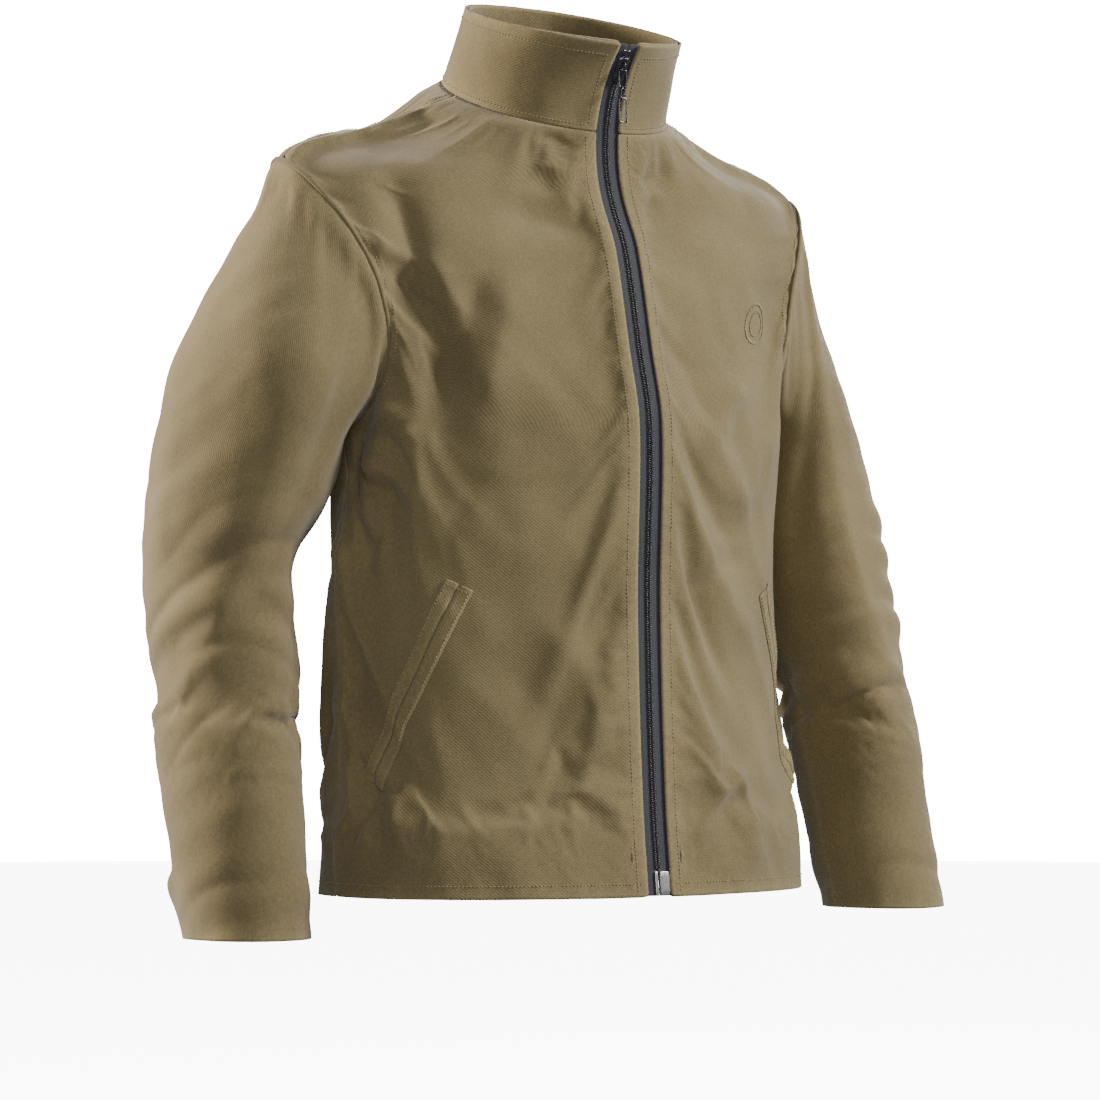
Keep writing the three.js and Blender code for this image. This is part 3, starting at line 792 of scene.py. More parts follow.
@dataclass
class Sheet:
    """A cloth piece on a grid over a surface.

    Attributes:
        name: The piece's name.
        place: Gives points and outward normals, in millimetres.
        columns: The surface's first value as a function of (across, along), each 0 to 1.
        rows: The surface's second value as a function of along.
        cells: Grid cells across and along.
        depth: How far inward the cloth's face lies, in millimetres.
        thickness: The cloth's thickness in millimetres.
        closed: Whether the first and last columns are sewn together.
        held: How the record says that the cloth is held.
        levels: Rounds of smoothing, the same for the view and the render.
        settle: How the cloth settles, if it does.
        settled: How far each grid point moved when it settled, in millimetres.
    """

    name: str
    place: Place
    columns: Callable[[Array, Array], Array]
    rows: Callable[[Array], Array]
    cells: tuple[int, int]
    depth: float = 0.0
    thickness: float = SIZE.cloth
    # held: How the record says that the cloth is held; not used.
    closed: bool = False
    held: str = "hung"
    levels: int = 1
    settle: Settle | None = None
    settled: Array | None = None

    def build(self, material: bpy.types.Material, slot: Slot, replaced: Sequence[str]) -> bpy.types.Object:
        """Args:
            material: Its finish.
            slot: Its slot in the record; not used.
            replaced: The frame's nodes that it stands for.

        Returns:
            The finished object.
        """
        across, along = self.cells
        bm = bmesh.new()
        uv = bm.loops.layers.uv.new("cloth")
        bmesh.ops.create_grid(bm, x_segments=across, y_segments=along, size=1.0)
        bm.verts.ensure_lookup_table()
        flat = np.array([v.co[:2] for v in bm.verts]) * 0.5 + 0.5
        v_values = self.rows(flat[:, 1])
        points, normals = self.place(self.columns(flat[:, 0], flat[:, 1]), v_values)
        points = points - normals * self.depth
        for vert, point in zip(bm.verts, points * MM):
            vert.co = point
        order = np.lexsort((flat[:, 0], flat[:, 1]))
        grid = points[order].reshape(along + 1, across + 1, 3)
        widths = np.linalg.norm(np.diff(grid, axis=1), axis=-1)
        lengths = np.linalg.norm(np.diff(grid, axis=0), axis=-1)
        girth = np.concatenate([np.zeros((along + 1, 1)), np.cumsum(widths, 1)], 1)
        reach = np.concatenate([np.zeros((1, across + 1)), np.cumsum(lengths, 0)], 0)
        girth = girth - girth[:, -1:] / 2
        cloth = np.empty((len(points), 2))
        cloth[order] = np.stack([girth.ravel(), reach.ravel()], -1) * MM
        wear = bm.verts.layers.float.new("wear")
        for vert, spot in zip(bm.verts, flat):
            rim = min(spot[1], 1 - spot[1]) * reach.max()
            seam = min(spot[0], 1 - spot[0]) * widths.sum(1).mean()
            vert[wear] = math.exp(-min(rim, seam) / 7)
        for face in bm.faces:
            for loop in face.loops:
                loop[uv].uv = cloth[loop.vert.index]
        if self._faces_in(bm, normals):
            bmesh.ops.reverse_faces(bm, faces=bm.faces)
        area = sum(face.calc_area() for face in bm.faces)
        piece = new_object(self.name, bm, material)
        if self.settle:
            self._settle(piece, flat, order)
        if self.closed:
            bm = bmesh.new()
            bm.from_mesh(piece.data)
            bmesh.ops.remove_doubles(bm, verts=bm.verts, dist=1e-5)
            bm.to_mesh(piece.data)
            bm.free()
        if self.levels:
            subdivide = piece.modifiers.new("smooth", "SUBSURF")
            subdivide.levels = subdivide.render_levels = self.levels
        wall = piece.modifiers.new("cloth", "SOLIDIFY")
        wall.thickness, wall.offset = self.thickness * MM, -1.0
        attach(piece, "root")
        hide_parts(*replaced)
        return piece

    def _settle(self, piece: bpy.types.Object, flat: Array, order: Array) -> None:
        """Lets the cloth settle and keeps how far each grid point moved.

        Args:
            piece: The piece, with no modifiers.
            flat: Each vertex's (across, along).
            order: Its vertices in rows.
        """
        if self.closed:
            weld = piece.modifiers.new("weld", "WELD")
            weld.merge_threshold = 1e-5
            mesh = bpy.data.meshes.new_from_object(piece.evaluated_get(bpy.context.evaluated_depsgraph_get()))
            piece.modifiers.remove(weld)
            before = np.array([v.co[:] for v in piece.data.vertices])
            twin = bpy.data.objects.new("settling", mesh)
            bpy.context.scene.collection.objects.link(twin)
            tree = KDTree(len(mesh.vertices))
            for index, vert in enumerate(mesh.vertices):
                tree.insert(vert.co, index)
            tree.balance()
            match = np.array([tree.find(co)[1] for co in before])
            first = np.zeros(len(mesh.vertices), int)
            first[match] = np.arange(len(match))
            moved = self.settle.run(twin, flat[first])[match]
            bpy.data.objects.remove(twin)
            bpy.data.meshes.remove(mesh)
            for vert, point in zip(piece.data.vertices, before + moved):
                vert.co = point
        else:
            moved = self.settle.run(piece, flat)
        self.settled = moved[order].reshape(self.cells[1] + 1, self.cells[0] + 1, 3) / MM

    @staticmethod
    def _faces_in(bm: bmesh.types.BMesh, normals: Array) -> bool:
        """Whether the grid's faces look against the surface's normals.

        Args:
            bm: The grid.
            normals: The surface's normals, one for each vertex.

        Returns:
            True when the faces must be turned.
        """
        bm.faces.ensure_lookup_table()
        votes = 0.0
        for face in bm.faces[:][:: max(1, len(bm.faces) // 50)]:
            face.normal_update()
            votes += face.normal.dot(Vector(normals[face.verts[0].index]))
        return votes < 0


@dataclass
class StitchRun:
    """A row of topstitches along lines on the cloth, made as one mesh."""

    name: str
    length: float = 2.5
    pitch: float = 3.3
    radius: float = 0.5
    bm: bmesh.types.BMesh = field(default_factory=bmesh.new)

    def sew(self, points: Array, normals: Array) -> None:
        """Adds stitches along a line.

        Args:
            points: The line, in millimetres.
            normals: Its outward normals.
        """
        steps = np.linalg.norm(np.diff(points, axis=0), axis=1)
        reach = np.concatenate([[0], np.cumsum(steps)])
        for start in np.arange(0.4, reach[-1] - self.length, self.pitch):
            ends = [np.array([np.interp(s, reach, points[:, k]) for k in range(3)])
                    for s in (start, start + self.length)]
            normal = np.array([np.interp(start, reach, normals[:, k]) for k in range(3)])
            self.stitch(ends[0], ends[1], normal)

    def stitch(self, start: Array, end: Array, normal: Array) -> None:
        """Adds one stitch.

        Args:
            start: One end, in millimetres.
            end: The other end.
            normal: The way out of the cloth.
        """
        along = Vector(end - start)
        up = Vector(normal).normalized()
        across = up.cross(along).normalized()
        up = along.normalized().cross(across) * -1
        middle = Vector((start + end) / 2) + Vector(normal).normalized() * self.radius * 0.35
        turn = Matrix((along.normalized(), across, up)).transposed().to_4x4()
        shape = Matrix.Diagonal((self.length / 2, self.radius, self.radius, 1))
        place = Matrix.Translation(middle) @ turn @ shape
        bmesh.ops.create_icosphere(self.bm, subdivisions=1, radius=1.0, matrix=Matrix.Scale(MM, 4) @ place)

    def finish(self, material: bpy.types.Material) -> bpy.types.Object:
        """Turns the run into a piece.

        Args:
            material: Its finish.

        Returns:
            The object.
        """
        piece = new_object(self.name, self.bm, material)
        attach(piece, "root")
        return piece


# ---- Finishes --------------------------------------------------------------------------------


class Graph:
    """A material's node tree with short calls."""

    def __init__(self, name: str) -> None:
        """Makes an empty Principled material.

        Args:
            name: The material's name.
        """
        self.material = bpy.data.materials.new(name)
        self.material.use_nodes = True
        self.tree = self.material.node_tree
        self.shader = self.tree.nodes["Principled BSDF"]

    def node(self, kind: str, **settings: object) -> bpy.types.Node:
        """Adds a node with settings on itself or, where a name fits, its sockets.

        Args:
            kind: The node's type.
            settings: Values, with an underscore for each space in a name.

        Returns:
            The node.
        """
        made = self.tree.nodes.new(kind)
        for key, value in settings.items():
            if hasattr(made, key):
                setattr(made, key, value)
            else:
                made.inputs[key.replace("_", " ")].default_value = value
        return made

    def set(self, **values: object) -> None:
        """Sets the shader's own sockets, with an underscore for each space in a name."""
        for key, value in values.items():
            self.shader.inputs[key.replace("_", " ")].default_value = value

    def link(self, source: bpy.types.NodeSocket, target: bpy.types.NodeSocket) -> None:
        """Links two sockets."""
        self.tree.links.new(source, target)

    def noise(self, scale: float, detail: float, source: bpy.types.NodeSocket) -> bpy.types.NodeSocket:
        """Adds a noise texture.

        Args:
            scale: The noise's scale.
            detail: Its detail.
            source: Its coordinates.

        Returns:
            Its value.
        """
        made = self.node("ShaderNodeTexNoise", Scale=scale, Detail=detail)
        self.link(source, made.inputs["Vector"])
        return made.outputs["Fac"]

    def math(self, operation: str, a: object, b: object) -> bpy.types.NodeSocket:
        """Adds a sum.

        Args:
            operation: The kind of sum.
            a: A socket or a number.
            b: A socket or a number.

        Returns:
            The sum's socket.
        """
        made = self.node("ShaderNodeMath", operation=operation)
        for index, value in enumerate((a, b)):
            if isinstance(value, bpy.types.NodeSocket):
                self.link(value, made.inputs[index])
            else:
                made.inputs[index].default_value = value
        return made.outputs[0]


@dataclass(frozen=True)
class Cloth:
    """A woven cloth finish; pitches are metres between threads."""

    name: str
    dark: tuple[float, float, float]
    light: tuple[float, float, float]
    pitch: float = 0.0011
    slant: float = 0.9
    roughness: float = 0.86
    sheen: float = 0.25
    weave: float = 0.35

    def make(self) -> bpy.types.Material:
        """Builds the material: mottled dye, a diagonal weave, slubs and pale worn seams.

        Returns:
            The material.
        """
        graph = Graph(self.name)
        spots = graph.node("ShaderNodeTexCoord")
        mottle = graph.noise(9.0, 4.0, spots.outputs["Object"])
        fine = graph.noise(420.0, 3.0, spots.outputs["Object"])
        blend = graph.math("ADD", graph.math("MULTIPLY", mottle, 0.55), graph.math("MULTIPLY", fine, 0.5))
        wear = graph.node("ShaderNodeAttribute", attribute_name="wear")
        worn = graph.math("MULTIPLY", wear.outputs["Fac"], graph.math("MULTIPLY", fine, 0.55))
        weave = self._weave(graph, spots.outputs["UV"])
        tint = graph.math("ADD", graph.math("ADD", blend, worn), graph.math("MULTIPLY", weave, 0.16))
        ramp = graph.node("ShaderNodeValToRGB")
        low, high = ramp.color_ramp.elements
        low.position, high.position = 0.25, 0.95
        low.color, high.color = (*self.dark, 1), (*self.light, 1)
        graph.link(tint, ramp.inputs["Fac"])
        graph.link(ramp.outputs["Color"], graph.shader.inputs["Base Color"])
        height = graph.math("ADD", weave, graph.math("MULTIPLY", fine, 0.8))
        bump = graph.node("ShaderNodeBump", Strength=self.weave, Distance=0.0004)
        graph.link(height, bump.inputs["Height"])
        graph.link(bump.outputs["Normal"], graph.shader.inputs["Normal"])
        rough = graph.math("ADD", graph.math("MULTIPLY", fine, 0.12), self.roughness - 0.06)
        graph.link(rough, graph.shader.inputs["Roughness"])
        graph.set(Sheen_Weight=self.sheen, Sheen_Roughness=0.5, Specular_IOR_Level=0.25)
        return graph.material

    def _weave(self, graph: Graph, cloth: bpy.types.NodeSocket) -> bpy.types.NodeSocket:
        """The twill's height from 0 to 1.

        Args:
            graph: The material's graph.
            cloth: Cloth coordinates in metres.

        Returns:
            The height's socket.
        """
        turned = graph.node("ShaderNodeMapping")
        turned.inputs["Rotation"].default_value = (0, 0, self.slant)
        graph.link(cloth, turned.inputs["Vector"])
        # At scale 1 the wave texture repeats every 20 / pi to the unit.
        scale = 1 / self.pitch / 20 * math.pi
        twill = graph.node("ShaderNodeTexWave", Scale=scale, Distortion=0.6, Detail=1.0)
        graph.link(turned.outputs["Vector"], twill.inputs["Vector"])
        cross = graph.node("ShaderNodeTexWave", bands_direction="Y", Scale=scale)
        graph.link(cloth, cross.inputs["Vector"])
        return graph.math("ADD", graph.math("MULTIPLY", twill.outputs["Fac"], 0.7),
                          graph.math("MULTIPLY", cross.outputs["Fac"], 0.3))


@dataclass(frozen=True)
class Hard:
    """A metal or moulded finish with fine scuffs."""

    name: str
    dark: tuple[float, float, float]
    light: tuple[float, float, float]
    metallic: float
    roughness: float

    def make(self) -> bpy.types.Material:
        """Builds the material: varied tone, scuffed gloss and a faint unevenness.

        Returns:
            The material.
        """
        graph = Graph(self.name)
        spots = graph.node("ShaderNodeTexCoord")
        cloudy = graph.noise(260.0, 4.0, spots.outputs["Object"])
        scuffs = graph.noise(2400.0, 2.0, spots.outputs["Object"])
        ramp = graph.node("ShaderNodeValToRGB")
        low, high = ramp.color_ramp.elements
        low.position, high.position = 0.3, 0.75
        low.color, high.color = (*self.dark, 1), (*self.light, 1)
        graph.link(cloudy, ramp.inputs["Fac"])
        graph.link(ramp.outputs["Color"], graph.shader.inputs["Base Color"])
        gloss = graph.math("ADD", graph.math("MULTIPLY", scuffs, 0.16), self.roughness - 0.06)
        graph.link(gloss, graph.shader.inputs["Roughness"])
        bump = graph.node("ShaderNodeBump", Strength=0.12, Distance=0.0001)
        graph.link(scuffs, bump.inputs["Height"])
        graph.link(bump.outputs["Normal"], graph.shader.inputs["Normal"])
        graph.set(Metallic=self.metallic)
        return graph.material


TWILL = Cloth("khaki_twill", (0.104, 0.078, 0.034), (0.262, 0.205, 0.098))
LINING = Cloth("facing_cotton", (0.074, 0.056, 0.026), (0.175, 0.136, 0.068), pitch=0.0009)
TAPE = Cloth("zip_tape_weave", (0.020, 0.021, 0.026), (0.055, 0.057, 0.068), pitch=0.0008,
             slant=0.0, weave=0.6)
THREAD = Cloth("khaki_thread", (0.20, 0.155, 0.075), (0.42, 0.34, 0.19), pitch=0.0004, sheen=0.4)
COIL = Hard("nylon_coil", (0.006, 0.006, 0.008), (0.022, 0.022, 0.027), 0.0, 0.38)
NICKEL = Hard("black_nickel_plate", (0.07, 0.07, 0.075), (0.16, 0.16, 0.17), 1.0, 0.24)
STEEL = Hard("bright_zip_metal", (0.42, 0.42, 0.41), (0.66, 0.66, 0.64), 1.0, 0.27)


@dataclass
class Finishes:
    """Every material, made once."""

    twill: bpy.types.Material = field(default_factory=TWILL.make)
    lining: bpy.types.Material = field(default_factory=LINING.make)
    tape: bpy.types.Material = field(default_factory=TAPE.make)
    thread: bpy.types.Material = field(default_factory=THREAD.make)
    coil: bpy.types.Material = field(default_factory=COIL.make)
    nickel: bpy.types.Material = field(default_factory=NICKEL.make)
    steel: bpy.types.Material = field(default_factory=STEEL.make)


# ---- Sub-assemblies --------------------------------------------------------------------------

# The large sheets' grids are this many times coarser.
FINE = 1


@dataclass
class Body:
    """The two fronts and the back, with their facings and hems."""

    finishes: Finishes
    facing_width: float = 55.0
    hem: float = 11.0

    def build(self) -> None:
        """Builds the panels, facings and their stitching."""
        for side in Side:
            self._front(side)
        self._back()
        for side in Side:
            self._facing(side)
        self._sew()

    def _front(self, side: Side) -> None:
        """One front panel, from the zip to the side seam and armhole.

        Args:
            side: The wearer's side.
        """
        def angle(across: Array, along: Array) -> Array:
            """The torso's angles for the sheet's values.

            Args:
                across: The sheet's across values, 0 to 1.
                along: Its along values, 0 to 1.

            Returns:
                Radians from the centre front.
            """
            row = body_row(along)
            start, end = angle_at_x(SIZE.zip_opening, row), armhole_angle(row, SIZE.armhole_front)
            return side.value * (start + (end - start) * across)
        panel = Sheet(f"{side.word}_front", Torso.folded, angle, body_row, (64 // FINE, 128 // FINE),
                      settle=Settle(sewn_front))
        panel.build(self.finishes.twill, Slot.SHELL, [f"front_panel_{side.word}"])
        if panel.settled is not None:
            def across(turn: Array, row: Array) -> Array:
                """The sheet's across value for the torso's values."""
                start, end = angle_at_x(SIZE.zip_opening, row), armhole_angle(row, SIZE.armhole_front)
                return (np.abs(turn) - start) / (end - start)
            SETTLED[side.word] = Settled(panel.settled, across, row_along)

    def _facing(self, side: Side) -> None:
        """The inside strip beside the zip.

        Args:
            side: The wearer's side.
        """
        def angle(across: Array, along: Array) -> Array:
            """The torso's angles for the sheet's values.

            Args:
                across: The sheet's across values, 0 to 1.
                along: Its along values, 0 to 1.

            Returns:
                Radians from the centre front.
            """
            row = body_row(along)
            start = angle_at_x(SIZE.zip_opening + 0.5, row)
            end = angle_at_x(SIZE.zip_opening + self.facing_width, row)
            return side.value * (start + (end - start) * across)
        Sheet(f"{side.word}_facing", Torso.place, angle, body_row, (10, 100 // FINE), depth=3.6,
              thickness=1.0).build(self.finishes.lining, Slot.FACING, [f"front_facing_{side.word}"])

    def _back(self) -> None:
        """The back panel."""
        def angle(across: Array, along: Array) -> Array:
            """The torso's angles for the sheet's values."""
            return math.pi + armhole_angle(body_row(along), SIZE.armhole_back) * (across * 2 - 1)
        panel = Sheet("back", Torso.folded, angle, body_row, (88 // FINE, 112 // FINE),
                      settle=Settle(sewn_back))
        panel.build(self.finishes.twill, Slot.SHELL, ["back_panel"])
        if panel.settled is not None:
            def back_across(turn: Array, row: Array) -> Array:
                """The sheet's across value for the torso's values."""
                past = np.mod(turn, 2 * math.pi) - math.pi
                return past / armhole_angle(row, SIZE.armhole_back) / 2 + 0.5
            SETTLED["back"] = Settled(panel.settled, back_across, row_along)

    def _sew(self) -> None:
        """Topstitching beside the zip, round the hem and along the armholes."""
        run = StitchRun("body_topstitching")
        rows = np.linspace(0.02, NECK_ROW - 0.04, 400)
        for side in Side:
            run.sew(*Torso.place(side.value * angle_at_x(SIZE.zip_opening + 10, rows), rows))
            front = np.linspace(0.06, math.pi, 300) * side.value
            hem_row = row_at_height(np.float64(self.hem - SIZE.hem_drop))
            run.sew(*Torso.place(front, np.full_like(front, hem_row)))
            turns = np.linspace(0.06, math.pi - 0.12, 120)
            edge = np.sin(turns)
            inset = 8.0 / GIRTH
            run.sew(*Torso.place(side.value * (math.pi / 2 - SIZE.armhole_front * edge - inset),
                                 ARMHOLE_ROW + np.cos(turns)))
            run.sew(*Torso.place(side.value * (math.pi / 2 + SIZE.armhole_back * edge + inset),
                                 ARMHOLE_ROW + np.cos(turns)))
            slope = np.linspace(SHOULDER_ROW + 0.05, NECK_ROW - 0.03, 60)
            run.sew(*Torso.place(side.value * (math.pi / 2 + 0.07 + 0 * slope), slope))
            tack = row_at_height(np.linspace(-657, -644, 14))
            spots, normals = Torso.place(side.value * angle_at_x(SIZE.zip_opening + 12, tack), tack)
            for spot, normal in zip(spots, normals):
                run.stitch(spot, spot + np.array([2.4 * side.value, 0.0, 0.0]), normal)
        run.finish(self.finishes.thread)


def row_reach() -> tuple[Array, Array]:
    """Torso rows and the share of the panel's length below each.

    Returns:
        The rows and their shares, both rising.
    """
    rows = np.linspace(0, NECK_ROW, 601)
    heights = 0.5 * (station("front", rows) + station("side", rows))
    steps = np.hypot(np.diff(heights), np.diff(station("width", rows)) * 0.5)
    reach = np.concatenate([[0], np.cumsum(steps)])
    return rows, reach / reach[-1]


def body_row(along: Array) -> Array:
    """Torso rows spaced evenly up the panels for a sheet's along value."""
    rows, reach = row_reach()
    return np.interp(along, reach, rows)


def row_along(row: Array) -> Array:
    """A sheet's along value for a torso row."""
    rows, reach = row_reach()
    return np.interp(row, rows, reach)


def sewn_front(across: Array, along: Array) -> Array:
    """A front is sewn at the zip, the side seam, the armhole, the shoulder and the neck."""
    edge = np.maximum(1 - smooth(across, 0.0, 0.06), 1 - smooth(1 - across, 0.0, 0.035))
    return np.maximum(edge, np.maximum(1 - smooth(1 - along, 0, 0.03), 1 - smooth(along, 0.01, 0.12)))


def sewn_back(across: Array, along: Array) -> Array:
    """The back is sewn at both side seams, the armholes, the shoulders and the neck."""
    edge = 1 - smooth(np.minimum(across, 1 - across), 0.0, 0.03)
    return np.maximum(edge, np.maximum(1 - smooth(1 - along, 0, 0.03), 1 - smooth(along, 0.01, 0.12)))


def sewn_sleeve(across: Array, along: Array) -> Array:
    """A sleeve is sewn at the armhole, and its hem keeps the cuff round."""
    return np.maximum(1 - smooth(along, 0.0, 0.03), 1 - smooth(1 - along, 0.05, 0.4))


@dataclass
class SleevePart:
    """One sleeve, sewn under the arm, with its hemmed cuff.

    Attributes:
        finishes: The materials.
        side: The wearer's side.
        hem: The cuff's hem in millimetres.
        roll_sink: How far the armhole's seam roll lies in, from the cloth and along the sleeve.
        roll_half: Half the roll's height out of the cloth and along the sleeve.
        roll_cells: The roll's grid cells round the armhole and round its section.
    """

    finishes: Finishes
    side: Side
    hem: float = 11.0
    roll_sink: tuple[float, float] = (1.3, 0.8)
    roll_half: tuple[float, float] = (1.35, 2.3)
    roll_cells: tuple[int, int] = (160, 8)

    def _seam_roll(self, place: Place) -> None:
        """The turned seam allowance that fills the join between sleeve and body.

        Args:
            place: The sleeve's folded surface.
        """
        long, small = self.roll_cells
        turns = np.linspace(0, 2 * math.pi, long + 1)[:-1]
        first, normals = place(turns, np.full_like(turns, SLEEVE_START))
        second, _ = place(turns, np.full_like(turns, 0.006))
        inward = first - second
        inward /= np.linalg.norm(inward, axis=1, keepdims=True)
        centre = first + inward * self.roll_sink[1] - normals * self.roll_sink[0]
        bm = bmesh.new()
        bmesh.ops.create_grid(bm, x_segments=long, y_segments=small, size=0.5)
        spots = np.array([v.co[:] for v in bm.verts])
        around = np.rint((spots[:, 0] + 0.5) * long).astype(int) % long
        angle = (spots[:, 1] + 0.5) * 2 * math.pi
        place_at = (centre[around] + normals[around] * (self.roll_half[0] * np.sin(angle))[:, None]
                    + inward[around] * (self.roll_half[1] * np.cos(angle))[:, None]) * MM
        for vert, spot in zip(bm.verts, place_at):
            vert.co = spot
        bmesh.ops.remove_doubles(bm, verts=bm.verts, dist=1e-6)
        bmesh.ops.recalc_face_normals(bm, faces=bm.faces)
        piece = new_object(f"{self.side.word}_armhole_roll", bm, self.finishes.twill)
        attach(piece, "root")

    def build(self) -> None:
        """Builds the sleeve and its stitching."""
        folded = sleeve_place(self.side)
        sheet = Sheet(f"{self.side.word}_sleeve", folded,
                      lambda across, along: math.pi + across * 2 * math.pi,
                      lambda along: SLEEVE_START + along * (1 - SLEEVE_START),
                      (92 // FINE, 118 // FINE), closed=True,
                      settle=Settle(sewn_sleeve, slack=0.02, cap=8.0))
        sheet.build(self.finishes.twill, Slot.SHELL, [f"sleeve_{self.side.word}"])
        self._seam_roll(folded)

        def place(turn: Array, t: Array) -> tuple[Array, Array]:
            """The sleeve's folded and settled surface.

            Args:
                turn: Radians round the sleeve.
                t: 0 at the armhole and 1 at the cuff.

            Returns:
                Points and unit outward normals, in millimetres.
            """
            point, normal = folded(turn, t)
            if sheet.settled is not None:
                moved = Settled(sheet.settled,
                                lambda a, b: np.mod(a - math.pi, 2 * math.pi) / 2 / math.pi,
                                lambda b: (b - SLEEVE_START) / (1 - SLEEVE_START))
                point = point + moved.at(turn, t)
            return point, normal
        run = StitchRun(f"{self.side.word}_sleeve_topstitching")
        turns = np.linspace(0, 2 * math.pi, 200)
        run.sew(*place(turns, np.full_like(turns, 1 - self.hem / SLEEVE_LENGTH)))
        run.finish(self.finishes.thread)


@dataclass
class Collar:
    """The stand collar's outer and inner cloth."""

    finishes: Finishes

    def build(self) -> None:
        """Builds both layers and the topstitching."""
        def angle(opening: float) -> Callable[[Array, Array], Array]:
            """The torso's angles for the sheet's values, open this far in front."""
            start = float(angle_at_x(opening, np.float64(NECK_ROW)))
            return lambda across, along: start + (2 * math.pi - 2 * start) * across
        cells = (112 // FINE, 16)
        Sheet("collar_shell", collar_place, angle(SIZE.zip_opening),
              lambda along: 0.004 + along * 0.985, cells).build(
            self.finishes.twill, Slot.SHELL, ["collar_outer", "collar_interlining"])
        Sheet("collar_lining", collar_place, angle(SIZE.zip_opening + 0.3),
              lambda along: 0.004 + along * 0.98, cells, depth=3.6).build(
            self.finishes.twill, Slot.SHELL, ["collar_inner"])
        run = StitchRun("collar_topstitching")
        start = float(angle_at_x(SIZE.zip_opening + 8, np.float64(NECK_ROW)))
        around = np.linspace(start, 2 * math.pi - start, 260)
        for t in (0.07, 0.86):
            run.sew(*collar_place(around, np.full_like(around, t)))
        for end in (start, 2 * math.pi - start):
            ts = np.linspace(0.08, 0.85, 40)
            run.sew(*collar_place(np.full_like(ts, end), ts))
        run.finish(self.finishes.thread)


@dataclass
class Pocket:
    """A slanted welt pocket: two welts on the front and a flat bag inside."""

    finishes: Finishes
    side: Side
    top: float = -420.0
    angle_top: float = math.radians(47)
    slant: float = math.radians(27)
    girth: float = 172.0
    length: float = 190.0
    width: float = 13.0
    bag: float = 120.0

    def place(self, lift: float) -> Place:
        """The pocket's frame on the cloth.

        Args:
            lift: How far out of the cloth, in millimetres.

        Returns:
            The surface, with across towards the front and along down the slit.
        """
        def at(across: Array, along: Array) -> tuple[Array, Array]:
            """Points and normals on the cloth.

            Args:
                across: Millimetres towards the front.
                along: Millimetres down the slit.

            Returns:
                Points and unit outward normals, in millimetres.
            """
            sideways = along * math.sin(self.slant) - across * math.cos(self.slant)
            down = along * math.cos(self.slant) + across * math.sin(self.slant)
            point, normal = Torso.place(self.side.value * (self.angle_top + sideways / self.girth),
                                        row_at_height(self.top - down))
            return point + normal * lift, normal
        return at

    def build(self) -> None:
        """Builds the welts, the bag and the edge stitching."""
        for word, low, high in (("front", 0.5, self.width), ("rear", -self.width, -0.5)):
            def lifted(across: Array, along: Array, low: float = low,
                       high: float = high) -> tuple[Array, Array]:
                """A welt, raised along its middle.

                Args:
                    across: Millimetres towards the front.
                    along: Millimetres down the slit.
                    low: The welt's rear edge.
                    high: Its front edge.

                Returns:
                    Points and unit outward normals, in millimetres.
                """
                middle = (across - low) / (high - low) * 2 - 1
                point, normal = self.place(0.5)(across, along)
                return point + normal * (1.3 * (1 - np.abs(middle) ** 6))[..., None], normal
            Sheet(f"{self.side.word}_pocket_{word}_welt", lifted,
                  lambda across, along, low=low, high=high: low + (high - low) * across,
                  lambda along: along * self.length, (8, 60), thickness=1.0).build(
                self.finishes.twill, Slot.SHELL, [f"pocket_{self.side.word}_welt_{word}"])
        Sheet(f"{self.side.word}_pocket_bag", self.place(-3.0),
              lambda across, along: across * self.bag - self.bag / 3,
              lambda along: 12 + along * (self.length - 24), (20, 24), thickness=1.2).build(
            self.finishes.lining, Slot.FACING, [f"pocket_{self.side.word}_bag"])
        run = StitchRun(f"{self.side.word}_pocket_stitching")
        lines = np.linspace(2, self.length - 2, 60)
        for across in (self.width - 2.2, -self.width + 2.2):
            run.sew(*self.place(1.6)(np.full_like(lines, across), lines))
        for along in (4.0, self.length - 4.0):
            ends = np.linspace(-self.width + 2.2, self.width - 2.2, 20)
            run.sew(*self.place(1.6)(ends, np.full_like(ends, along)))
        run.finish(self.finishes.thread)


def zip_normal(z: Array) -> Array:
    """Outward normals of the zip's line.

    Args:
        z: Heights in millimetres.

    Returns:
        One unit normal for each height.
    """
    slope = (centre_front(z + 0.5) - centre_front(z - 0.5))
    size = np.sqrt(1 + slope ** 2)
    return np.stack([0 * z, -1 / size, slope / size], -1)


def zip_place(depth: float, ribs: float = 0.0) -> Place:
    """The zip's own surface at a depth.

    Args:
        depth: How far in from the line, in millimetres.
        ribs: The height of the tape's ribs.

    Returns:
        The surface, with across as X and along as height.
    """
    def at(x: Array, z: Array) -> tuple[Array, Array]:
        """Points and normals on the zip's surface.

        Args:
            x: X in millimetres.
            z: Heights in millimetres.

        Returns:
            Points and unit outward normals, in millimetres.
        """
        bend = 340 + (95 - 340) * smooth(z, SIZE.collar_base_front - 20, SIZE.collar_base_front)
        point = np.stack([x, centre_front(z) + x * x / 2 / bend, z], -1)
        normal = zip_normal(z)
        lift = ribs * np.cos(x * 2 * math.pi / 1.9) - depth
        return point + normal * lift[..., None], normal
    return at


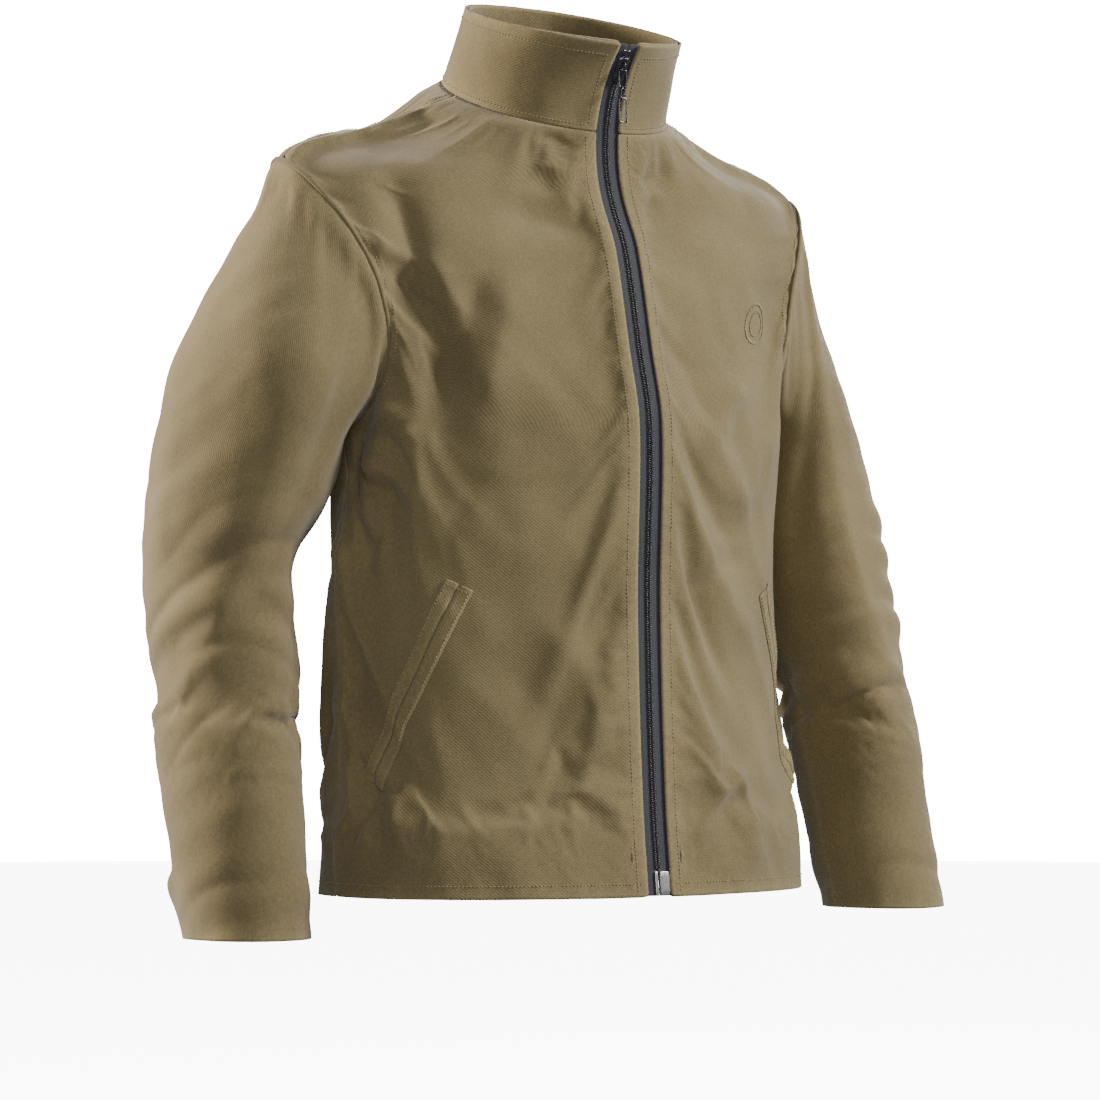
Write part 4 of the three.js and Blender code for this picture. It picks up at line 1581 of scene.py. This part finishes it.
def wire(name: str, points: Array, radius: float, material: bpy.types.Material,
         closed: bool = False) -> bpy.types.Object:
    """A round wire along points in millimetres.

    Args:
        name: The piece's name.
        points: Its route.
        radius: The wire's radius in millimetres.
        material: Its finish.
        closed: Whether the wire closes on itself.

    Returns:
        The curve object.
    """
    curve = bpy.data.curves.new(name, "CURVE")
    curve.dimensions = "3D"
    curve.bevel_depth = radius * MM
    curve.bevel_resolution = 5
    curve.use_fill_caps = not closed
    spline = curve.splines.new("POLY")
    spline.points.add(len(points) - 1)
    for knot, point in zip(spline.points, points):
        knot.co = (*(Vector(point) * MM), 1)
    spline.use_cyclic_u = closed
    spline.use_smooth = True
    curve.materials.append(material)
    thing = bpy.data.objects.new(name, curve)
    bpy.context.scene.collection.objects.link(thing)
    log.info("%s: a wire of %d points", name, len(points))
    return thing


def rounded_loop(half: float, low: float, high: float, radius: float, steps: int = 8) -> Array:
    """Points (x, z) round a rectangle with round corners.

    Args:
        half: Half its width.
        low: Its lowest z.
        high: Its highest z.
        radius: Its corners' radius.
        steps: Points in each corner.

    Returns:
        The points, in order.
    """
    corners = ((half - radius, high - radius, 0), (-half + radius, high - radius, 1),
               (-half + radius, low + radius, 2), (half - radius, low + radius, 3))
    points = []
    for x, z, quarter in corners:
        for turn in (quarter + np.linspace(0, 1, steps)) * math.pi / 2:
            points.append((x + radius * math.cos(turn), z + radius * math.sin(turn)))
    return np.array(points)


@dataclass
class Zip:
    """The front zip: tapes, coils, stops, box and pin, slider, link and tab."""

    finishes: Finishes
    bottom: float = -684.0
    top: float = 32.0
    tooth_pitch: float = 1.5
    box_height: float = 20.0
    slider_height: float = 15.0
    slider_length: float = 22.0
    link_reach: float = 14.0
    tab_length: float = 31.0
    tape_depth: float = 2.4

    @property
    def slider_angle(self) -> float:
        """The slider's place on the zip's arc."""
        return math.asin((self.slider_height - SIZE.arc_z) / SIZE.arc_radius)

    @property
    def pivot(self) -> Array:
        """The middle of the slider's eye.

        Returns:
            One point in millimetres.
        """
        reach = SIZE.arc_radius - 3.5
        return np.array([0, SIZE.arc_y + reach * math.cos(self.slider_angle),
                         SIZE.arc_z + reach * math.sin(self.slider_angle)])

    def on_arc(self, x: Array, along: Array, depth: Array) -> Array:
        """Points about the zip's arc near the slider.

        Args:
            x: X in millimetres.
            along: Millimetres up the arc from the slider.
            depth: Millimetres out from its centre.

        Returns:
            Points in millimetres.
        """
        angle = self.slider_angle + along / SIZE.arc_radius
        reach = SIZE.arc_radius + depth
        return np.stack([x, SIZE.arc_y + reach * np.cos(angle), SIZE.arc_z + reach * np.sin(angle)], -1)

    def build(self) -> None:
        """Builds every piece of the zip."""
        coil_top = SIZE.arc_z + SIZE.arc_radius * math.sin(
            self.slider_angle + self.slider_length / 2 / SIZE.arc_radius)
        for side in Side:
            Sheet(f"{side.word}_zip_tape", zip_place(self.tape_depth, 0.12),
                  lambda across, along, s=side: s.value * (0.9 + (SIZE.tape_half_width - 0.9) * across),
                  lambda along: self.bottom + (self.top - self.bottom) * along, (20, 260 // FINE),
                  thickness=0.5, levels=0).build(self.finishes.tape, Slot.TAPE, [f"zip_tape_{side.word}"])
            self._teeth(side, coil_top)
            self._block(f"{side.word}_zip_top_stop", side.value * 2.2, 2.6, coil_top + 1.5,
                        coil_top + 4.5, 0.8, 2.0, self.finishes.nickel,
                        f"zip_top_stop_{side.word}")
        low, high = self.bottom, self.bottom + self.box_height
        self._block("zip_box", 5.3, 9.4, low, high, -0.5, 2.1, self.finishes.steel,
                    "zip_bottom_box")
        self._block("zip_pin", -2.1, 3.0, low, high, 0.3, 2.1, self.finishes.steel,
                    "zip_insert_pin")
        self._slider()
        self._link()
        self._tab()

    def _teeth(self, side: Side, top: float) -> None:
        """One coil: a row of short rounded loops across the tape's edge.

        Args:
            side: The wearer's side.
            top: Where the coil ends, in millimetres.
        """
        heights = np.linspace(self.bottom + self.box_height + 3, top, 6000)
        steps = np.hypot(np.diff(heights), np.diff(centre_front(heights)))
        reach = np.concatenate([[0], np.cumsum(steps)])
        offset = self.tooth_pitch / 2 if side is Side.LEFT else 0.0
        z = np.interp(np.arange(offset, reach[-1], self.tooth_pitch), reach, heights)
        points, normals = zip_place(1.45)(np.full_like(z, 1.55 * side.value), z)
        bm = bmesh.new()
        for point, normal in zip(points, normals):
            up = Vector(normal)
            along = up.cross(Vector((1, 0, 0))).normalized() * side.value
            lean = Vector((math.cos(0.2), 0, 0)) * side.value + along * math.sin(0.2)
            turn = Matrix((lean, up.cross(lean), up)).transposed().to_4x4()
            shape = Matrix.Diagonal((1.95, 0.56, 0.62, 1))
            spot = Matrix.Scale(MM, 4) @ Matrix.Translation(Vector(point)) @ turn @ shape
            bmesh.ops.create_icosphere(bm, subdivisions=2, radius=1.0, matrix=spot)
        piece = new_object(f"{side.word}_zip_coil_loops", bm, self.finishes.coil)
        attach(piece, "root")
        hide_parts(f"zip_coil_{side.word}")

    def _block(self, name: str, x: float, width: float, low: float, high: float, near: float, far: float,
               material: bpy.types.Material, node: str) -> None:
        """A small bevelled metal block on the zip's line, sized in millimetres.

        Args:
            name: The piece's name.
            x: Its middle's X.
            width: Its width.
            low: Its foot.
            high: Its top.
            near: The depth of its front.
            far: The depth of its back.
            material: Its finish.
            node: The frame's node that it stands for.
        """
        bm = bmesh.new()
        bmesh.ops.create_cube(bm, size=1.0)
        bmesh.ops.subdivide_edges(bm, edges=bm.edges, cuts=3, use_grid_fill=True)
        for vert in bm.verts:
            cx, cy, cz = vert.co
            pinch = 1 - 0.12 * math.cos(cz * math.pi * 2) ** 2 * (high - low > 10)
            z = (low + high) / 2 + cz * (high - low)
            depth = (near + far) / 2 + cy * (far - near)
            point, _ = zip_place(depth)(np.array([x + cx * width * pinch]), np.array([z]))
            vert.co = Vector(point[0]) * MM
        sharp = [e for e in bm.edges if e.calc_face_angle(0) > 1.0]
        bmesh.ops.bevel(bm, geom=sharp, offset=0.4 * MM, affect="EDGES", segments=3, profile=0.5, material=-1)
        bmesh.ops.recalc_face_normals(bm, faces=bm.faces)
        piece = new_object(name, bm, material)
        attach(piece, "root")
        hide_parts(node)

    def _plate(self, name: str, lift: Callable[[Array], Array], half: Callable[[Array], Array],
               thickness: float) -> bpy.types.Object:
        """One wall of the slider, waisted and round-ended.

        Args:
            name: The piece's name.
            lift: Its height over the arc from -1 to 1 across.
            half: Half its width from -1 to 1 along.
            thickness: Its thickness in millimetres.

        Returns:
            The object.
        """
        bm = bmesh.new()
        bmesh.ops.create_grid(bm, x_segments=16, y_segments=24, size=1.0)
        flat = np.array([v.co[:2] for v in bm.verts])
        along = flat[:, 1] * self.slider_length / 2
        x = flat[:, 0] * half(flat[:, 1])
        for vert, point in zip(bm.verts, self.on_arc(x, along, lift(flat[:, 0]))):
            vert.co = Vector(point) * MM
        bmesh.ops.solidify(bm, geom=bm.faces[:], thickness=thickness * MM)
        bmesh.ops.recalc_face_normals(bm, faces=bm.faces)
        sharp = [e for e in bm.edges if e.calc_face_angle(0) > 1.0]
        bmesh.ops.bevel(bm, geom=sharp, offset=0.3 * MM, affect="EDGES", segments=2, profile=0.5, material=-1)
        return new_object(name, bm, self.finishes.nickel)

    def _slider(self) -> None:
        """The slider: a waisted crown plate with side rails, a back plate and a bridge for the link."""
        def waist(t: Array) -> Array:
            """Half the crown's width, from -1 to 1 along it."""
            return (5.2 + 0.9 * np.abs(t) ** 1.5) * (1 - 0.35 * smooth(np.abs(t), 0.82, 1.0) ** 2)
        crown = self._plate("slider_crown", lambda x: -1.5 + 1.3 * np.abs(x) ** 4, waist, 0.9)
        back = self._plate("slider_back", lambda x: 4.4 - 0.2 * x ** 2,
                           lambda t: 5.3 * (1 - 0.2 * t ** 6), 0.8)
        turns = np.linspace(0, math.pi, 22)
        arch = self.on_arc(0 * turns, 0.5 + 6.3 * np.cos(turns), -1.2 - 4.1 * np.sin(turns) ** 0.7)
        bridge = wire("slider_bridge", arch, 0.85, self.finishes.nickel)
        for piece in (crown, back, bridge):
            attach(piece, "zip_slider")
        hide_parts("zip_slider")

    def _link(self) -> None:
        """The wire link between the slider and the tab."""
        loop = rounded_loop(3.8, -self.link_reach, 0.0, 1.8)
        points = np.stack([loop[:, 0], 0 * loop[:, 0] + self.pivot[1], loop[:, 1] + self.pivot[2]], -1)
        piece = wire("slider_link", points, 0.62, self.finishes.nickel, closed=True)
        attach(piece, "pull_link")
        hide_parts("pull_link")

    def _tab(self) -> None:
        """The pull tab: a plate with a long window and a folded eye round the link."""
        foot = self.pivot + np.array([0, 0, -self.link_reach])
        rims = {
            "tab_frame": (rounded_loop(3.75, -self.tab_length + 0.7, -9.5, 2.0), 0.8),
            "tab_neck": (np.array([(-1.6, -1.6), (-1.6, -5.5), (-2.6, -8.6), (-1.2, -10.2), (1.2, -10.2),
                                   (2.6, -8.6), (1.6, -5.5), (1.6, -1.6)]), 0.7),
        }
        for name, (loop, radius) in rims.items():
            points = np.stack([loop[:, 0], 0 * loop[:, 0] + foot[1], loop[:, 1] + foot[2]], -1)
            piece = wire(name, points, radius, self.finishes.nickel, closed=True)
            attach(piece, "pull_tab")
        turns = np.linspace(0, 2 * math.pi, 24, endpoint=False)
        for word, x in (("left", 1.6), ("right", -1.6)):
            ring = np.stack([0 * turns + x, foot[1] + 1.5 * np.cos(turns), foot[2] + 1.5 * np.sin(turns)], -1)
            piece = wire(f"tab_eye_{word}", ring, 0.55, self.finishes.nickel, closed=True)
            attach(piece, "pull_tab")
        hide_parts("pull_tab")


@dataclass
class Trim:
    """The chest badge, neck tape, blank label and hanging loop."""

    finishes: Finishes
    badge_angle: float = math.radians(40)
    badge_row: float = 2.95
    rings: tuple[tuple[float, float], ...] = ((17.6, 2.6), (11.0, 1.6))

    def build(self) -> None:
        """Builds each piece of trim."""
        self._badge()
        half = 75 / 100
        Sheet("neck_binding", Torso.place, lambda across, along: math.pi + half * (across * 2 - 1),
              lambda along: 5.3 + 0.4 * along, (40, 4), depth=2.7, thickness=0.8).build(
            self.finishes.twill, Slot.SHELL, ["neck_tape"])
        Sheet("blank_label", Torso.place, lambda across, along: math.pi + 0.15 * (across * 2 - 1),
              lambda along: 4.3 + 0.5 * along, (12, 8), depth=2.7, thickness=0.5).build(
            self.finishes.lining, Slot.FACING, ["neck_label"])
        low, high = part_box("hanger_loop")
        low, high = np.array(low) / MM, np.array(high) / MM

        def strap(across: Array, along: Array) -> tuple[Array, Array]:
            """The loop, hanging between its two ends.

            Args:
                across: Millimetres across the loop.
                along: 0 to 1 from end to end.

            Returns:
                Points and unit outward normals, in millimetres.
            """
            turn = along * math.pi
            drop = np.sin(turn) ** 0.7
            point = np.stack([high[0] * np.cos(turn) * 0.98, high[1] - 2.5 - (high[1] - low[1] - 4) * drop,
                              low[2] + 2 + (high[2] - low[2] - 5) * drop + across], -1)
            return point, np.stack([0 * turn, 0 * turn - 1, 0 * turn], -1)
        Sheet("hanging_loop", strap, lambda across, along: (across * 2 - 1) * 5.1, lambda along: along,
              (4, 40), thickness=1.2).build(self.finishes.twill, Slot.SHELL, ["hanger_loop"])

    def _badge(self) -> None:
        """Two plain rings of satin stitches on the wearer's left chest."""
        step = 0.01
        here, there, above = (Torso.place(np.array([a]), np.array([r]))[0][0] for a, r in (
            (self.badge_angle, self.badge_row), (self.badge_angle + step, self.badge_row),
            (self.badge_angle, self.badge_row + step)))
        across, along = np.linalg.norm(there - here) / step, np.linalg.norm(above - here) / step
        run = StitchRun("chest_badge_rings", radius=0.42)

        def spot(radius: float, turn: float) -> tuple[Array, Array]:
            """A place on the badge.

            Args:
                radius: Millimetres from the badge's middle.
                turn: Radians round it.

            Returns:
                The point and its normal.
            """
            place, normal = Torso.place(np.array([self.badge_angle + radius * math.cos(turn) / across]),
                                        np.array([self.badge_row + radius * math.sin(turn) / along]))
            return place[0] + normal[0] * 0.35, normal[0]
        for radius, width in self.rings:
            count = int(2 * math.pi * radius / 0.75)
            for turn in np.linspace(0, 2 * math.pi, count, endpoint=False):
                inner, normal = spot(radius - width / 2, turn)
                outer, _ = spot(radius + width / 2, turn + 0.02)
                run.length = float(np.linalg.norm(outer - inner))
                run.stitch(inner, outer, normal)
        piece = run.finish(self.finishes.thread)
        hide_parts("chest_badge")


# ---- Stage -----------------------------------------------------------------------------------


@dataclass
class Stage:
    """The plain pale floor, soft lights and camera, in metres.

    Attributes:
        target: Where the camera looks.
        distance: How far it stands from there.
        camera_drop: How far it stands below there.
        lens: Its focal length in millimetres.
        floor: The floor's height.
        wall_glow: How bright the wall is to the camera.
        floor_glow: How bright the floor is to the camera.
    """

    target: tuple[float, float, float] = (-0.0026, 0.0017, -0.3915)
    distance: float = 3.5
    camera_drop: float = 0.12
    lens: float = 132.0
    floor: float = -1.02
    wall_glow: float = 16.0
    floor_glow: float = 9.0

    def build(self) -> None:
        """Builds the stage."""
        self._camera()
        self._light("key_light", (2.6, -2.6, 1.7), 0.9, 245.0, (1.0, 0.985, 0.95))
        self._light("fill_light", (-1.9, -2.9, 0.2), 1.6, 34.0, (0.97, 0.985, 1.0))
        self._light("rim_light", (-2.0, 1.5, 0.6), 0.6, 150.0, (1.0, 0.90, 0.76))
        self._light("rear_light", (2.2, 1.4, 0.6), 1.2, 50.0, (1.0, 0.97, 0.93))
        world = bpy.data.worlds.new("studio")
        bpy.context.scene.world = world
        world.use_nodes = True
        background = world.node_tree.nodes["Background"]
        background.inputs["Color"].default_value = (0.96, 0.98, 1.0, 1)
        background.inputs["Strength"].default_value = 0.26
        self._backdrop()
        self._floor()

    def _backdrop(self) -> None:
        """A bright wall all round, seen by the camera only."""
        bm = bmesh.new()
        bmesh.ops.create_cone(bm, cap_ends=True, segments=64, radius1=8.5, radius2=8.5, depth=12.0)
        graph = Graph("white_wall")
        graph.set(Base_Color=(0.9, 0.9, 0.9, 1), Emission_Color=(1, 1, 1, 1),
                  Emission_Strength=self.wall_glow)
        wall = new_object("backdrop", bm, graph.material)
        wall.visible_diffuse = wall.visible_glossy = wall.visible_shadow = False

    def _floor(self) -> None:
        """A plain pale floor below the jacket, as bright as the wall."""
        bm = bmesh.new()
        bmesh.ops.create_grid(bm, x_segments=24, y_segments=24, size=9.0)
        bmesh.ops.translate(bm, verts=bm.verts, vec=(0, 0, self.floor))
        graph = Graph("pale_floor")
        graph.set(Base_Color=(0.9, 0.9, 0.9, 1), Roughness=0.9, Emission_Color=(1, 1, 1, 1),
                  Emission_Strength=self.floor_glow)
        floor = new_object("floor", bm, graph.material)
        floor.visible_diffuse = floor.visible_glossy = False

    def _camera(self) -> None:
        """The camera at the jacket's front right quarter."""
        camera = bpy.data.cameras.new("camera")
        camera.lens, camera.sensor_width = self.lens, 36.0
        thing = bpy.data.objects.new("camera", camera)
        bpy.context.scene.collection.objects.link(thing)
        target = Vector(self.target)
        place = target + Vector(TOWARDS) * self.distance - Vector((0, 0, self.camera_drop))
        thing.location = place
        thing.rotation_euler = (target - place).to_track_quat("-Z", "Y").to_euler()
        bpy.context.scene.camera = thing

    @staticmethod
    def _light(name: str, place: tuple[float, float, float], size: float, power: float,
               colour: tuple[float, float, float]) -> None:
        """One soft square light that faces the jacket.

        Args:
            name: The light's name.
            place: Where it stands, in metres.
            size: Its side in metres.
            power: Its power in watts.
            colour: Its colour.
        """
        light = bpy.data.lights.new(name, "AREA")
        light.size, light.energy, light.color = size, power, colour
        thing = bpy.data.objects.new(name, light)
        thing.location = place
        thing.rotation_euler = (Vector((0, 0, -0.4)) - Vector(place)).to_track_quat("-Z", "Y").to_euler()
        bpy.context.scene.collection.objects.link(thing)


def main() -> None:
    """Builds the jacket in order."""
    logging.basicConfig(level=logging.INFO, format="%(name)s: %(message)s")
    Stage().build()
    finishes = Finishes()
    Body(finishes).build()
    for side in Side:
        SleevePart(finishes, side).build()
        Pocket(finishes, side).build()
    Collar(finishes).build()
    Zip(finishes).build()
    Trim(finishes).build()
    bpy.context.view_layer.update()
    log.info("built")


if __name__ == "__main__":
    main()
